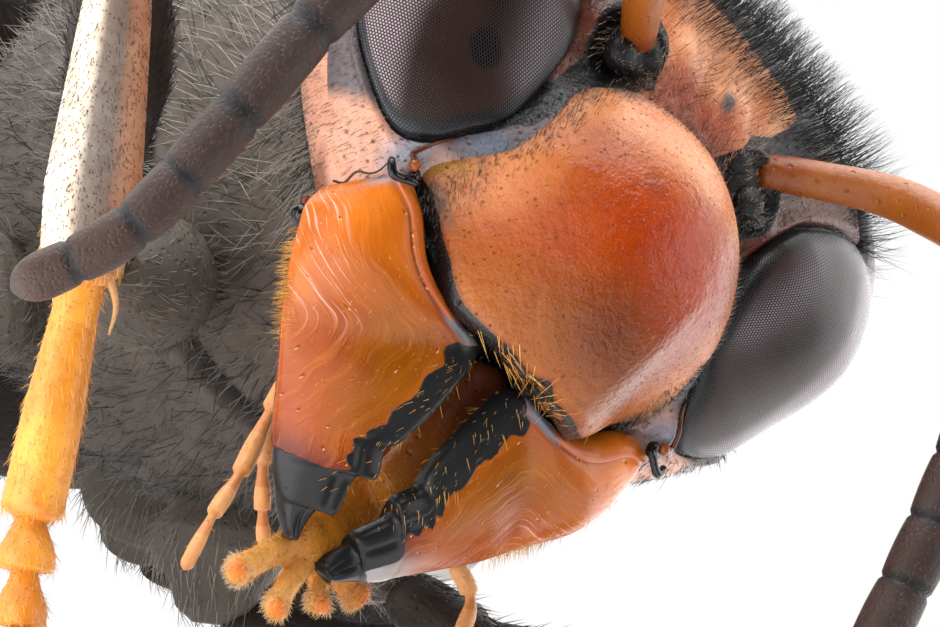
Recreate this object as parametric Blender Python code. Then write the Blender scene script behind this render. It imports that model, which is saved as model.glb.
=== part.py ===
"""Asian hornet, a worker, life size, standing still.

Sizes are in millimetres in the model's own frame: X to the insect's left, Y backwards, Z up, the floor at
Z = 0 and the middle of the head above X = Y = 0. add_part() turns them into metres about the base's middle.
"""

import math

import bmesh
import bpy
import numpy as np

MM = 0.001
BASE_MIDDLE = (0.0, 7.93, 0.0)
GAP = 0.3
HALF_GAP = GAP / 2
SIDES = ("left", "right")

HEAD_AT = np.array((0.0, 0.0, 6.3))
HEAD_PITCH = math.radians(-31.64)
HEAD_TURN = math.radians(14.0)
HEAD_WIDE = 2.85
TEMPLE_WIDENING = 0.35
HEAD_DEEP = 1.25
HEAD_BACK = 1.3
HEAD_TOP = 2.75
HEAD_RINGS = 17
HEAD_SIDES = 30
HEAD_LOW = 2.35
CHEEK_NARROWING = 0.14

EYE_MIDDLE = (64.0, 0.6)
EYE_OUTLINE = (
    (49, -0.9), (37, -0.7), (29, -0.46), (24.5, -0.1), (20.5, 0.45), (21, 0.83), (24.5, 1.14), (28, 1.32),
    (40, 1.6), (50, 1.85), (52, 2.05), (53, 2.25), (61, 2.42), (74, 2.34), (86, 1.9), (89, 1.0), (85, 0.1),
    (74, -0.5), (62, -0.86),
)
EYE_BULGE = 0.3
EYE_GAP = 0.25
EYE_COUNT = 30
EYE_DEGREE = 0.05
SOCKET_HEIGHT = 0.7
SOCKET_DEPTH = 0.62
EYE_DEPTH = 0.3

CLYPEUS_MIDDLE = (0.0, -0.45)
CLYPEUS_FRONT = -2.15
CLYPEUS_CURVE = 0.43
CLYPEUS_CURVE_LOW = 0.333
CLYPEUS_THICKNESS = 0.5
CLYPEUS_SLOPE = 0.6
CLYPEUS_COUNT = 34
CLYPEUS_HALF_OUTLINE = (
    (0, 0.78), (0.68, 0.7), (1.15, 0.34), (1.33, -0.2), (1.45, -0.6), (1.68, -0.92), (1.45, -1.2),
    (1.14, -1.45), (0.8, -1.75), (0.6, -1.98), (0.4, -2.04), (0, -1.93),
)

THORAX_AT = np.array((0.0, 5.95, 5.0))
THORAX_HALF = (2.9, 3.8, 3.0)
BODY_PITCH = math.radians(-12.0)

SEGMENT_ENDS = (10.15, 12.6, 14.7, 16.6, 18.3, 19.8, 21.5)
GASTER_HALF = (3.1, 2.75)

SCAPE_RADIUS = 0.2
FLAGELLUM_RADIUS = 0.245
ANTENNA_SOCKET = (0.95, -1.55, 1.0)
RIGHT_ELBOW = (-2.16, -1.69, 8.99)
RIGHT_FLAGELLUM = (
    RIGHT_ELBOW, (-2.84, -1.88, 8.48), (-3.09, -2.26, 7.3), (-3.3, -2.55, 6.2),
    (-3.23, -2.88, 4.57), (-3.22, -3.02, 3.48), (-3.46, -2.79, 2.48),
)
LEFT_ELBOW = (2.68, -1.5, 8.96)
LEFT_FLAGELLUM = (
    LEFT_ELBOW, (3.1, -1.95, 8.35), (3.6, -2.3, 7.2), (3.98, -2.65, 5.96), (4.3, -3.0, 4.5), (4.5, -3.2, 3.3),
)

LEGS = {
    "fore_right": ((-1.0, 3.2, 3.8), (-1.9, 1.5, 3.2), (-4.62, -0.65, 5.44), (-2.58, -1.08, 2.87),
                   (-1.6, -1.45, 1.34), (-1.03, -1.7, 0.61), (-0.55, -2.4, 0.12)),
    "fore_left": ((1.0, 3.2, 3.8), (1.9, 1.5, 3.2), (5.5, -0.2, 4.1), (4.9, -2.0, 1.4),
                  (4.85, -3.35, 0.42), (4.75, -4.1, 0.2), (4.6, -4.9, 0.12)),
    "mid_right": ((-1.2, 5.3, 3.0), (-2.1, 5.0, 1.9), (-5.6, 4.2, 4.6), (-7.6, 5.6, 1.3),
                  (-8.35, 6.9, 0.4), (-8.8, 7.9, 0.2), (-9.3, 8.9, 0.12)),
    "mid_left": ((1.2, 5.3, 3.0), (2.1, 5.0, 1.9), (5.6, 4.2, 4.6), (7.6, 5.6, 1.3),
                 (8.35, 6.9, 0.4), (8.8, 7.9, 0.2), (9.3, 8.9, 0.12)),
    "hind_right": ((-1.1, 7.5, 2.9), (-2.0, 8.2, 1.9), (-5.7, 9.5, 4.4), (-7.4, 13.4, 1.4),
                   (-7.95, 15.6, 0.4), (-8.3, 16.8, 0.2), (-8.7, 18.0, 0.12)),
    "hind_left": ((1.1, 7.5, 2.9), (2.0, 8.2, 1.9), (5.6, 9.9, 3.9), (7.4, 13.6, 1.2),
                  (7.95, 15.8, 0.4), (8.3, 17.0, 0.2), (8.7, 18.2, 0.12)),
}
LEG_THICKNESS = {"fore": 1.0, "mid": 1.0, "hind": 1.1}
COXA_RADIUS = 0.62
FEMUR_RADIUS = 0.46
TIBIA_RADIUS = 0.4
TARSUS_RADIUS = 0.25
HIP_GAP = 0.35
KNEE_GAP = 0.2
JOINT_GAP = 0.22
SPUR_OFFSET = 0.5


def clear_scene():
    for obj in list(bpy.data.objects):
        bpy.data.objects.remove(obj)


def material(name, colour, roughness):
    made = bpy.data.materials.new(name)
    made.use_nodes = True
    shader = made.node_tree.nodes["Principled BSDF"]
    shader.inputs["Base Color"].default_value = (*colour, 1)
    shader.inputs["Roughness"].default_value = roughness
    return made


def turn_x(angle):
    c, s = math.cos(angle), math.sin(angle)
    return np.array(((1, 0, 0), (0, c, -s), (0, s, c)))


def turn_z(angle):
    c, s = math.cos(angle), math.sin(angle)
    return np.array(((c, -s, 0), (s, c, 0), (0, 0, 1)))


HEAD_AXES = turn_z(HEAD_TURN) @ turn_x(HEAD_PITCH)
BODY_AXES = turn_x(BODY_PITCH)


def from_head(points):
    return np.asarray(points, float) @ HEAD_AXES.T + HEAD_AT


def from_thorax(points):
    return np.asarray(points, float) @ BODY_AXES.T + THORAX_AT


def mirrored(points, side):
    return np.asarray(points, float) * (side, 1, 1)


def smooth_path(points, count, closed=False):
    """count points of a Catmull-Rom curve through these points, evenly spaced along each span."""
    points = np.asarray(points, float)
    if closed:
        padded = np.vstack((points[-1:], points, points[:2]))
    else:
        padded = np.vstack((2 * points[0] - points[1], points, 2 * points[-1] - points[-2]))
    spans = len(padded) - 3
    places = np.linspace(0, spans, count, endpoint=not closed)
    found = []
    for place in places:
        i = min(int(place), spans - 1)
        t = place - i
        a, b, c, d = padded[i : i + 4]
        square, cube = 2 * a - 5 * b + 4 * c - d, 3 * b - a - 3 * c + d
        found.append(0.5 * (2 * b + (c - a) * t + square * t**2 + cube * t**3))
    return np.array(found)


def rings_mesh(rings):
    """A closed mesh over these rings of equally many points, each end closed by a fan to its middle."""
    sides = len(rings[0])
    points = [point for ring in rings for point in ring]
    faces = []
    for k in range(len(rings) - 1):
        for i in range(sides):
            j = (i + 1) % sides
            faces.append((k * sides + i, k * sides + j, (k + 1) * sides + j, (k + 1) * sides + i))
    points += [np.mean(rings[0], axis=0), np.mean(rings[-1], axis=0)]
    last = (len(rings) - 1) * sides
    for i in range(sides):
        j = (i + 1) % sides
        faces.append((j, i, len(points) - 2))
        faces.append((last + i, last + j, len(points) - 1))
    return np.array(points), faces


def tube(path, radii, sides=10, flatness=1.0, up=(0, 0, 1)):
    """A closed tube along the path. Each radius may be a pair, across and along the up direction."""
    path = np.asarray(path, float)
    along = np.gradient(path, axis=0)
    rings = []
    for point, forward, radius in zip(path, along, radii):
        forward = forward / np.linalg.norm(forward)
        across = np.cross(forward, up)
        across = across / np.linalg.norm(across)
        raised = np.cross(across, forward)
        wide, high = radius if np.ndim(radius) else (radius, radius * flatness)
        turns = np.linspace(0, 2 * math.pi, sides, endpoint=False)
        ring = [point + across * wide * math.cos(t) + raised * high * math.sin(t) for t in turns]
        rings.append(ring)
    return rings_mesh(rings)


def to_object(name, points, faces):
    mesh = bpy.data.meshes.new(name)
    mesh.from_pydata([tuple(point) for point in points], [], [tuple(face) for face in faces])
    mesh.validate()
    made = bpy.data.objects.new(name, mesh)
    bpy.context.scene.collection.objects.link(made)
    work = bmesh.new()
    work.from_mesh(mesh)
    bmesh.ops.recalc_face_normals(work, faces=work.faces)
    if work.calc_volume(signed=True) < 0:
        bmesh.ops.reverse_faces(work, faces=work.faces)
    work.to_mesh(mesh)
    work.free()
    return made


def result_of(obj):
    """(points, faces) of the object with its modifiers applied. The object is removed."""
    bpy.context.view_layer.update()
    evaluated = obj.evaluated_get(bpy.context.evaluated_depsgraph_get())
    mesh = evaluated.to_mesh()
    points = np.array([vertex.co for vertex in mesh.vertices])
    faces = [tuple(face.vertices) for face in mesh.polygons]
    evaluated.to_mesh_clear()
    bpy.data.objects.remove(obj)
    return points, faces


def combined(operation, shape, others):
    """One mesh: the others joined to the shape, or cut from it, or what they share."""
    target = to_object("target", *shape)
    for k, other in enumerate(others):
        helper = to_object(f"helper_{k}", *other)
        modifier = target.modifiers.new(f"step_{k}", "BOOLEAN")
        modifier.operation = operation
        modifier.solver = "MANIFOLD"
        modifier.object = helper
    found = result_of(target)
    for obj in [obj for obj in bpy.data.objects if obj.name.startswith("helper_")]:
        bpy.data.objects.remove(obj)
    return found


def joined(shape, *others):
    return combined("UNION", shape, others)


def cut(shape, *others):
    return combined("DIFFERENCE", shape, others)


def bodies_of(shape):
    """The closed surfaces of a mesh, largest box first."""
    points, faces = shape
    links = list(range(len(points)))

    def root(i):
        while links[i] != i:
            links[i] = links[links[i]]
            i = links[i]
        return i

    for face in faces:
        for corner in face[1:]:
            links[root(corner)] = root(face[0])
    groups = {}
    for face in faces:
        groups.setdefault(root(face[0]), []).append(face)
    found = []
    for group in groups.values():
        used = sorted({corner for face in group for corner in face})
        place = {corner: i for i, corner in enumerate(used)}
        found.append((points[used], [tuple(place[corner] for corner in face) for face in group]))
    return sorted(found, key=lambda body: -np.ptp(body[0], axis=0).prod())


def grown(shape, amount):
    """The shape with each point moved out along its normal."""
    points, faces = shape
    normals = np.zeros_like(points)
    for face in faces:
        corners = points[list(face)]
        facing = np.cross(corners[1] - corners[0], corners[2] - corners[0])
        if len(face) == 4:
            facing = facing + np.cross(corners[2] - corners[0], corners[3] - corners[0])
        normals[list(face)] += facing / max(np.linalg.norm(facing), 1e-9)
    normals /= np.maximum(np.linalg.norm(normals, axis=1, keepdims=True), 1e-9)
    volume = 0.0
    for face in faces:
        for k in range(1, len(face) - 1):
            volume += np.dot(points[face[0]], np.cross(points[face[k]], points[face[k + 1]]))
    return points + normals * amount * (1 if volume > 0 else -1), faces


def largest(shape):
    return bodies_of(shape)[0]


def add_part(name, shape, finish):
    points, faces = largest(shape)
    points = (points - BASE_MIDDLE) * MM
    made = to_object(name, points, faces)
    made.data.materials.append(finish)
    made.data.shade_smooth()
    made.data.set_sharp_from_angle(angle=math.radians(40))


def ball(middle, radii, levels=2):
    """An ellipsoid of evenly spread triangles."""
    work = bmesh.new()
    bmesh.ops.create_icosphere(work, subdivisions=levels, radius=1)
    points = np.array([vertex.co for vertex in work.verts]) * radii + middle
    faces = [tuple(vertex.index for vertex in face.verts) for face in work.faces]
    work.free()
    return points, faces


def eased(t):
    t = min(max(t, 0.0), 1.0)
    return t * t * (3 - 2 * t)


def head_ring(z):
    """The head's size at this height: its scale, its half width and how square its outline is."""
    if z > 0:
        scale = max(0.0, 1 - (z / HEAD_TOP) ** 4) ** 0.25
    else:
        scale = math.sqrt(max(0.0, 1 - (z / HEAD_LOW) ** 2))
    scale *= 1 - CHEEK_NARROWING * eased((-z - 0.3) / 1.2)
    return scale, HEAD_WIDE + TEMPLE_WIDENING * eased((z + 0.7) / 2.5), 2 + 0.8 * eased((z + 0.9) / 1.9)


def head_surface(angle, z):
    """On the head: angle in degrees from the middle of its front, z up."""
    scale, wide, power = head_ring(z)
    sine, cosine = math.sin(math.radians(angle)), math.cos(math.radians(angle))
    deep = HEAD_BACK if cosine < 0 else HEAD_DEEP
    x = math.copysign(abs(sine) ** (2 / power), sine)
    y = -math.copysign(abs(cosine) ** (2 / power), cosine)
    return np.array((wide * scale * x, deep * scale * y, z))


def head_point(angle, z, height=0.0):
    point = head_surface(angle, z)
    normal = np.cross(head_surface(angle + 1, z) - head_surface(angle - 1, z),
                      head_surface(angle, z + 0.02) - head_surface(angle, z - 0.02))
    return point + height * normal / np.linalg.norm(normal)


def head_form():
    """The whole head capsule, in the head's own frame, before its sockets are cut."""
    rings = []
    for latitude in np.linspace(-86, 88, HEAD_RINGS):
        sine = math.sin(math.radians(latitude))
        z = sine * (HEAD_TOP if sine > 0 else HEAD_LOW)
        rings.append([head_surface(angle, z) for angle in np.linspace(0, 360, HEAD_SIDES, endpoint=False)])
    return rings_mesh(rings)


def plug(place, middle, curve, heights, bottom):
    """A lens-like closed body. place(u, v, height) puts a point on its surface, and heights has one pair
    for each ring: the share of the way from the middle to the curve, and the height there."""
    curve = curve - middle
    rings = []
    for share, height in (*heights, (1.0, -bottom), (0.5, -bottom)):
        rings.append([place(*(middle + toward * share), height) for toward in curve])
    points, faces = rings_mesh(rings)
    points[-2] = place(*middle, heights[0][1])
    points[-1] = place(*middle, -bottom)
    return points, faces


def eye_point(angle, z, height):
    """As head_point, with the eye's bulge less toward its lower end."""
    return head_point(angle, z, height * (0.15 + 0.85 * eased((z + 0.6) / 1.6)) if height > 0 else height)


def eye_form():
    rings = []
    for share in (0.3, 0.6, 0.85, 0.97, 1.0):
        rings.append((share, EYE_BULGE * max(0.0, 1 - share**2.4) ** 0.6 - 0.04))
    curve = smooth_path(EYE_OUTLINE, EYE_COUNT, closed=True)
    return plug(eye_point, np.array(EYE_MIDDLE), curve, rings, EYE_DEPTH)


def eye_socket():
    """The hole for an eye, wider than the eye all round."""
    metric = np.array((EYE_DEGREE, 1.0))
    curve = smooth_path(EYE_OUTLINE, EYE_COUNT, closed=True) * metric
    along = np.roll(curve, -1, axis=0) - np.roll(curve, 1, axis=0)
    along /= np.linalg.norm(along, axis=1, keepdims=True)
    outward = np.stack((along[:, 1], -along[:, 0]), axis=1)
    if np.sum(outward * (curve - curve.mean(axis=0))) < 0:
        outward = -outward
    rings = [(0.5, SOCKET_HEIGHT), (1.0, SOCKET_HEIGHT), (1.0, 0.0)]
    return plug(head_point, np.array(EYE_MIDDLE), (curve + outward * EYE_GAP) / metric, rings, SOCKET_DEPTH)


def clypeus_point(x, z, height):
    rise = z - CLYPEUS_MIDDLE[1]
    curve = CLYPEUS_CURVE if rise > 0 else CLYPEUS_CURVE_LOW
    y = CLYPEUS_FRONT + CLYPEUS_CURVE * x * x + curve * rise * rise
    y += CLYPEUS_SLOPE * eased((abs(x) - 0.55) / 0.7) * eased(-rise)
    return np.array((x, y - height, z))


def clypeus_form():
    half = list(CLYPEUS_HALF_OUTLINE)
    outline = half + [(-x, z) for x, z in half[-2:0:-1]]
    rings = [(share, 0.0) for share in (0.35, 0.65, 0.88)] + [(1.0, -0.05)]
    curve = smooth_path(outline, CLYPEUS_COUNT, closed=True)
    return plug(clypeus_point, np.array(CLYPEUS_MIDDLE), curve, rings, CLYPEUS_THICKNESS)


def both_sides(shape):
    points, faces = shape
    return [(mirrored(points, side), faces) for side in (1, -1)]


def box(low, high):
    corners = [(x, y, z) for x in (low[0], high[0]) for y in (low[1], high[1]) for z in (low[2], high[2])]
    faces = [(0, 1, 3, 2), (4, 6, 7, 5), (0, 4, 5, 1), (2, 3, 7, 6), (0, 2, 6, 4), (1, 5, 7, 3)]
    return np.array(corners, float), faces


def placed_on_head(shape):
    return from_head(shape[0]), shape[1]


def build_head(finish):
    mouth = ball((0, -0.25, -2.45), (1.5, 1.15, 1.15), levels=2)
    eyes = both_sides(eye_socket())
    jaws = both_sides(grown(mandible_form(), GAP))
    shape = largest(cut(head_form(), grown(clypeus_form(), GAP), mouth, *eyes, *jaws))
    add_part("head", placed_on_head(shape), finish)
    return shape


def build_clypeus(finish):
    shape = largest(cut(clypeus_form(), *both_sides(eye_socket())))
    add_part("clypeus", placed_on_head(shape), finish)


def build_eyes(finish):
    for side_name, shape in zip(SIDES, both_sides(eye_form())):
        add_part(f"eye_{side_name}", placed_on_head(shape), finish)


MANDIBLE_INNER = (
    (1.78, -0.55, -1.15), (1.5, -0.57, -1.3), (1.24, -0.57, -1.56), (0.98, -0.61, -1.72), (0.62, -0.64, -1.8),
    (0.27, -0.54, -1.8), (0.19, -0.34, -2.22), (0.2, -0.1, -2.68), (0.26, -0.03, -2.84), (0.15, 0.04, -3.06),
    (0.27, 0.14, -3.15), (0.15, 0.32, -3.43), (0.27, 0.42, -3.48), (0.18, 0.6, -3.72),
)
MANDIBLE_OUTER = (
    (2.08, 0.35, -1.35), (2.05, 0.2, -1.6), (1.97, 0.24, -1.8), (1.87, 0.29, -2.0), (1.73, 0.34, -2.2),
    (1.6, 0.38, -2.4), (1.41, 0.41, -2.65), (1.18, 0.5, -2.9), (1.0, 0.58, -3.09), (0.86, 0.6, -3.24),
    (0.76, 0.62, -3.36), (0.6, 0.64, -3.5), (0.47, 0.68, -3.58), (0.28, 0.64, -3.76),
)
MANDIBLE_BULGE = 0.32
MANDIBLE_LIP = 0.05
MANDIBLE_THICKNESS = 0.42


def mandible_form():
    """A blade lofted from its inner edge, with the teeth, to its outer edge."""
    rings = []
    across_count = 7
    for k, (inner, outer) in enumerate(zip(MANDIBLE_INNER, MANDIBLE_OUTER)):
        inner, outer = np.array(inner), np.array(outer)
        along = k / (len(MANDIBLE_INNER) - 1)
        width = outer - inner
        facing = np.cross(width, (-0.45, 0.35, -1.0))
        facing = facing / np.linalg.norm(facing)
        if facing[1] > 0:
            facing = -facing
        bulge = MANDIBLE_BULGE * (1 - 0.75 * along) * eased(k / 4)
        thickness = MANDIBLE_THICKNESS * (1 - 0.45 * along)
        front, back = [], []
        for i in range(across_count):
            t = i / (across_count - 1)
            arch = math.sin(math.pi * t) ** 0.7 if 0 < t < 1 else 0.0
            middle = inner + width * t
            front.append(middle + facing * (bulge * arch + MANDIBLE_LIP))
            back.append(middle + facing * (bulge * arch * 0.3 - thickness * (0.4 + 0.6 * arch) + MANDIBLE_LIP))
        rings.append(front + back[::-1])
    return rings_mesh(rings)


def build_mandibles(finish):
    shape = largest(cut(mandible_form(), grown(clypeus_form(), GAP)))
    for side_name, half in zip(SIDES, both_sides(shape)):
        add_part(f"mandible_{side_name}", placed_on_head(half), finish)
    return shape


def build_tongue(finish, head, mandible):
    """The labium with its four lobes."""
    base = tube(TONGUE_BASE, ((0.7, 0.3), (0.6, 0.3), (0.36, 0.26)), 12, up=(0, 1, 0))
    stem = tube(TONGUE_STEM, ((0.34, 0.2), (0.3, 0.2), (0.34, 0.2), (0.34, 0.2)), 10, up=(0, 1, 0))
    lobes = []
    for tip, radius in TONGUE_LOBES:
        start = np.array((tip[0] * 0.3 + 0.1, 0.8, -3.45))
        lobes.append(tube((start, (start + tip) / 2, tip), (0.2, radius, radius), 8, up=(0, 1, 0)))
    whole = joined(base, stem, *lobes)
    shape = largest(cut(whole, grown(head, GAP), *both_sides(grown(mandible, GAP))))
    add_part("tongue", placed_on_head(shape), finish)


TONGUE_BASE = ((0.1, 0.75, -1.6), (0.2, 0.7, -2.0), (0.25, 0.64, -2.4))
TONGUE_STEM = ((0.2, 0.74, -2.1), (0.2, 0.84, -2.6), (0.15, 0.86, -3.15), (0.1, 0.86, -3.6))
TONGUE_LOBES = (
    ((-0.62, 0.55, -4.42), 0.17), ((-0.16, 0.5, -4.5), 0.17), ((1.0, 1.05, -3.35), 0.19), ((-0.6, 0.5, -3.95), 0.15),
)
PALPS = {
    "maxillary_palp_right": ((-0.8, 0.95, -2.1), (-0.78, 1.0, -2.75), (-0.78, 0.95, -3.45),
                             (-0.88, 0.85, -4.0), (-0.9, 0.8, -4.62)),
    "maxillary_palp_left": ((0.8, 0.95, -2.1), (1.5, 1.05, -2.35), (1.92, 1.0, -2.55),
                            (2.03, 1.0, -2.9), (2.1, 1.05, -3.4)),
    "labial_palp_right": ((-0.3, 1.38, -2.7), (-0.35, 1.45, -3.1), (-0.38, 1.5, -3.5), (-0.4, 1.5, -3.9)),
    "labial_palp_left": ((0.5, 1.38, -2.7), (0.55, 1.5, -3.1), (0.6, 1.56, -3.4), (0.6, 1.6, -3.7)),
}
PALP_RADIUS = 0.14
PALP_RINGS = 10


def build_palps(finish):
    for name, path in PALPS.items():
        line = smooth_path(path, PALP_RINGS)
        radii = []
        for k in range(PALP_RINGS):
            radii.append(PALP_RADIUS * (0.7 if k % 3 == 0 else 1.0) * (1 - 0.3 * k / (PALP_RINGS - 1)))
        points, faces = tube(line, radii, 7, up=(0, 1, 0))
        add_part(name, (from_head(points), faces), finish)


def build_antenna(side_name, side, elbow, path, scape_finish, flagellum_finish):
    socket = from_head(mirrored(ANTENNA_SOCKET, side))
    outward = from_head(mirrored(ANTENNA_SOCKET, side) * 1.25) - socket
    start = socket
    elbow = np.array(elbow)
    line = smooth_path((start, start + (elbow - start) * 0.3 + outward * 0.25, elbow - (elbow - start) * 0.06), 7)
    radii = [SCAPE_RADIUS * scale for scale in (0.75, 0.85, 0.95, 1.05, 1.15, 1.15, 0.8)]
    add_part(f"scape_{side_name}", tube(line, radii, 10), scape_finish)
    segments = 11
    steps = 3
    line = smooth_path(path, segments * steps + 1)
    toward = (line[1] - line[0]) / np.linalg.norm(line[1] - line[0])
    line = line[1:]
    line[0] = line[0] + toward * 0.12
    radii = []
    for k in range(len(line)):
        notch = 0.9 if k % steps == steps - 1 else 1.0
        taper = min(1.0, 0.78 + 0.05 * k) * (1 - 0.18 * max(0, k - 18) / 14)
        radii.append(FLAGELLUM_RADIUS * notch * taper)
    radii[-1] = FLAGELLUM_RADIUS * 0.35
    add_part(f"flagellum_{side_name}", tube(line, radii, 7, up=(0, 1, 0)), flagellum_finish)


def thorax_form(grow=0.0):
    """The whole thorax in its own frame: an egg, higher in front, cut off behind."""
    wide, long, tall = THORAX_HALF
    rings = []
    for k in range(15):
        t = -math.cos(math.pi * (k + 0.35) / 14.7)
        y = long * t
        width = wide * math.sqrt(max(0.0, 1 - abs(t) ** 2.3))
        top = tall * math.sqrt(max(0.0, 1 - abs(t) ** 2.6)) * (1.0 if t < 0 else 1 - 0.16 * t)
        low = -tall * 0.92 * math.sqrt(max(0.0, 1 - abs(t) ** 2.2))
        middle, half = (top + low) / 2, (top - low) / 2
        turns = np.linspace(0, 2 * math.pi, 24, endpoint=False)
        grown_y = y * (1 + grow / long)
        rings.append([((width + grow) * math.cos(a), grown_y, middle + (half + grow) * math.sin(a)) for a in turns])
    return rings_mesh(rings)


def placed_thorax(grow=0.0):
    points, faces = thorax_form(grow)
    return from_thorax(points), faces


THORAX_CUTS = (
    ((-2.55, 3.6), (-2.3, 2.6), (-0.75, 1.25), (-2.15, -0.5), (-2.7, -3.6)),
    ((-0.75, 1.25), (1.2, 1.75), (1.55, 1.3), (1.75, -1.2), (1.5, -3.6)),
    ((1.05, 3.6), (1.05, 1.7)),
    ((2.45, 3.6), (2.2, 1.9), (1.55, 1.3)),
)
THORAX_SEEDS = {
    "pronotum": (-3.2, 0.5),
    "mesonotum": (-0.6, 2.6),
    "scutellum": (1.8, 2.3),
    "mesopleura": (-0.4, -1.0),
    "propodeum": (3.0, -0.5),
}


def wall(line, reach=4.0):
    """A thin wall across the body along a side-view line of (y, z) points."""
    line = np.asarray(line, float)
    along = np.gradient(line, axis=0)
    rings = []
    for (y, z), (dy, dz) in zip(line, along):
        size = math.hypot(dy, dz)
        oy, oz = -dz / size * HALF_GAP, dy / size * HALF_GAP
        below, above = (y - oy, z - oz), (y + oy, z + oz)
        rings.append([(-reach, *below), (reach, *below), (reach, *above), (-reach, *above)])
    return rings_mesh(rings)


def build_thorax(finish):
    whole = cut(thorax_form(), *[wall(line) for line in THORAX_CUTS])
    parts = bodies_of(whole)
    for name, (y, z) in THORAX_SEEDS.items():
        nearest = min(parts, key=lambda part: np.hypot(part[0][:, 1].mean() - y, part[0][:, 2].mean() - z))
        add_part(name, (from_thorax(nearest[0]), nearest[1]), finish)


def build_neck(finish):
    front = from_head((0, HEAD_BACK - 0.4, -0.15))
    rear = THORAX_AT + BODY_AXES @ np.array((0, -THORAX_HALF[1] + 0.5, -0.5))
    line = np.linspace(front, rear, 4)
    head = placed_on_head(grown(head_form(), GAP))
    add_part("neck", cut(tube(line, (0.75, 0.7, 0.7, 0.8), 12), head, placed_thorax(GAP)), finish)


def gaster_ring(y, scale=1.0, sides=20):
    """One ring of the gaster's outline at this Y, scaled about its middle."""
    start, end = SEGMENT_ENDS[0], SEGMENT_ENDS[-1]
    t = (y - start) / (end - start)
    front = min(1.0, math.sqrt(max(0.0, 1 - (1 - min(t / 0.24, 1)) ** 2.2)))
    rear = math.sqrt(max(0.0, 1 - (max(0.0, t - 0.3) / 0.7) ** 2.0))
    size = max(0.16, front * rear)
    wide, tall = GASTER_HALF[0] * size * scale, GASTER_HALF[1] * size * scale
    middle = 4.0 - 0.6 * t - 1.35 * t * t
    turns = np.linspace(0, 2 * math.pi, sides, endpoint=False)
    return [(wide * math.cos(a), y, middle + tall * math.sin(a)) for a in turns]


def build_gaster(finishes):
    for k, (start, end) in enumerate(zip(SEGMENT_ENDS, SEGMENT_ENDS[1:])):
        length = end - start - GAP
        places = [start + length * share for share in (0, 0.15, 0.4, 0.75, 1.0)]
        scales = (0.93, 0.97, 0.99, 1.01, 0.985)
        if k == 0:
            places = [start + length * share for share in (0, 0.05, 0.12, 0.22, 0.36, 0.55, 0.78, 1.0)]
            scales = (1, 1, 1, 1, 1, 1, 1.01, 0.99)
        if k == len(SEGMENT_ENDS) - 2:
            scales = (0.93, 0.97, 1.0, 1.0, 1.0)
        rings = [gaster_ring(y, scale) for y, scale in zip(places, scales)]
        add_part(f"gaster_{k + 1}", rings_mesh(rings), finishes[k])


def build_petiole(finish):
    rear = np.array((0, SEGMENT_ENDS[0] - GAP, 4.0))
    front = THORAX_AT + BODY_AXES @ np.array((0, THORAX_HALF[1] - 0.7, -0.6))
    shape = cut(tube(np.linspace(front, rear, 4), (0.5, 0.5, 0.5, 0.42), 10),
                placed_thorax(GAP))
    add_part("petiole", shape, finish)


FOREWING = {
    "root": (3.1, 4.75, 6.9), "tip": (6.6, 20.9, 4.5), "width": 3.1, "across": (0.72, -0.1, -0.68),
    "veins": (0.0, 0.16, 0.42, 0.7), "cross": (0.36, 0.55, 0.74),
}
HINDWING = {
    "root": (2.75, 5.9, 5.75), "tip": (5.0, 17.3, 3.9), "width": 1.9, "across": (0.6, -0.1, -0.78),
    "veins": (0.0, 0.4), "cross": (0.5,),
}
WING_THICKNESS = 0.5
VEIN_HEIGHT = 0.1


def wing_width(t):
    """Share of the full width at a share of the length: a narrow hinge, widest past the middle, a round tip."""
    grow = 0.26 + 0.74 * min(1.0, t / 0.55) ** 0.8
    return grow * math.sqrt(max(0.0, 1 - max(0.0, (t - 0.72) / 0.285) ** 2.2))


def lines_with(marks, plain, spread):
    """Grid places: the plain ones, and three for each mark that lies off the edge."""
    found = list(plain)
    for mark in marks:
        found = [place for place in found if abs(place - mark) > 1.6 * spread]
        found += [mark] if mark == 0 else [mark - spread, mark, mark + spread]
    return sorted(found)


def wing_form(wing, side):
    root, tip = np.array(wing["root"]), np.array(wing["tip"])
    across = np.array(wing["across"]) / np.linalg.norm(wing["across"])
    normal = np.cross(tip - root, across)
    normal = normal / np.linalg.norm(normal)
    lengths = lines_with(wing["cross"], np.linspace(0, 1, 10), 0.012)
    widths = lines_with(wing["veins"], np.linspace(0, 1, 5), 0.045)
    top, low = [], []
    for t in lengths:
        middle = root + (tip - root) * t + normal * 0.25 * math.sin(math.pi * t)
        for w in widths:
            vein = w in wing["veins"] and t < 0.9
            crossing = t in wing["cross"] and 0.16 <= w <= 0.7
            height = WING_THICKNESS / 2 + VEIN_HEIGHT * (vein or crossing)
            place = middle + across * (w - 0.45) * wing["width"] * wing_width(t)
            top.append(place + normal * height)
            low.append(place - normal * height)
    points = mirrored(np.array(top + low), side)
    rows, columns = len(lengths), len(widths)
    under = rows * columns
    faces = []
    for r in range(rows - 1):
        for c in range(columns - 1):
            a = r * columns + c
            b, d, e = a + 1, a + columns, a + columns + 1
            faces += [(a, b, e), (a, e, d), (under + a, under + e, under + b), (under + a, under + d, under + e)]
    rim = [c for c in range(columns)] + [r * columns + columns - 1 for r in range(1, rows)]
    rim += [(rows - 1) * columns + c for c in range(columns - 2, -1, -1)]
    rim += [r * columns for r in range(rows - 2, 0, -1)]
    for i, a in enumerate(rim):
        b = rim[(i + 1) % len(rim)]
        faces += [(a, under + a, under + b), (a, under + b, b)]
    return points, faces


def build_wings(finish):
    thorax = placed_thorax(GAP)
    for side_name, side in zip(SIDES, (1, -1)):
        add_part(f"forewing_{side_name}", cut(wing_form(FOREWING, side), thorax), finish)
        add_part(f"hindwing_{side_name}", cut(wing_form(HINDWING, side), thorax), finish)


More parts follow.
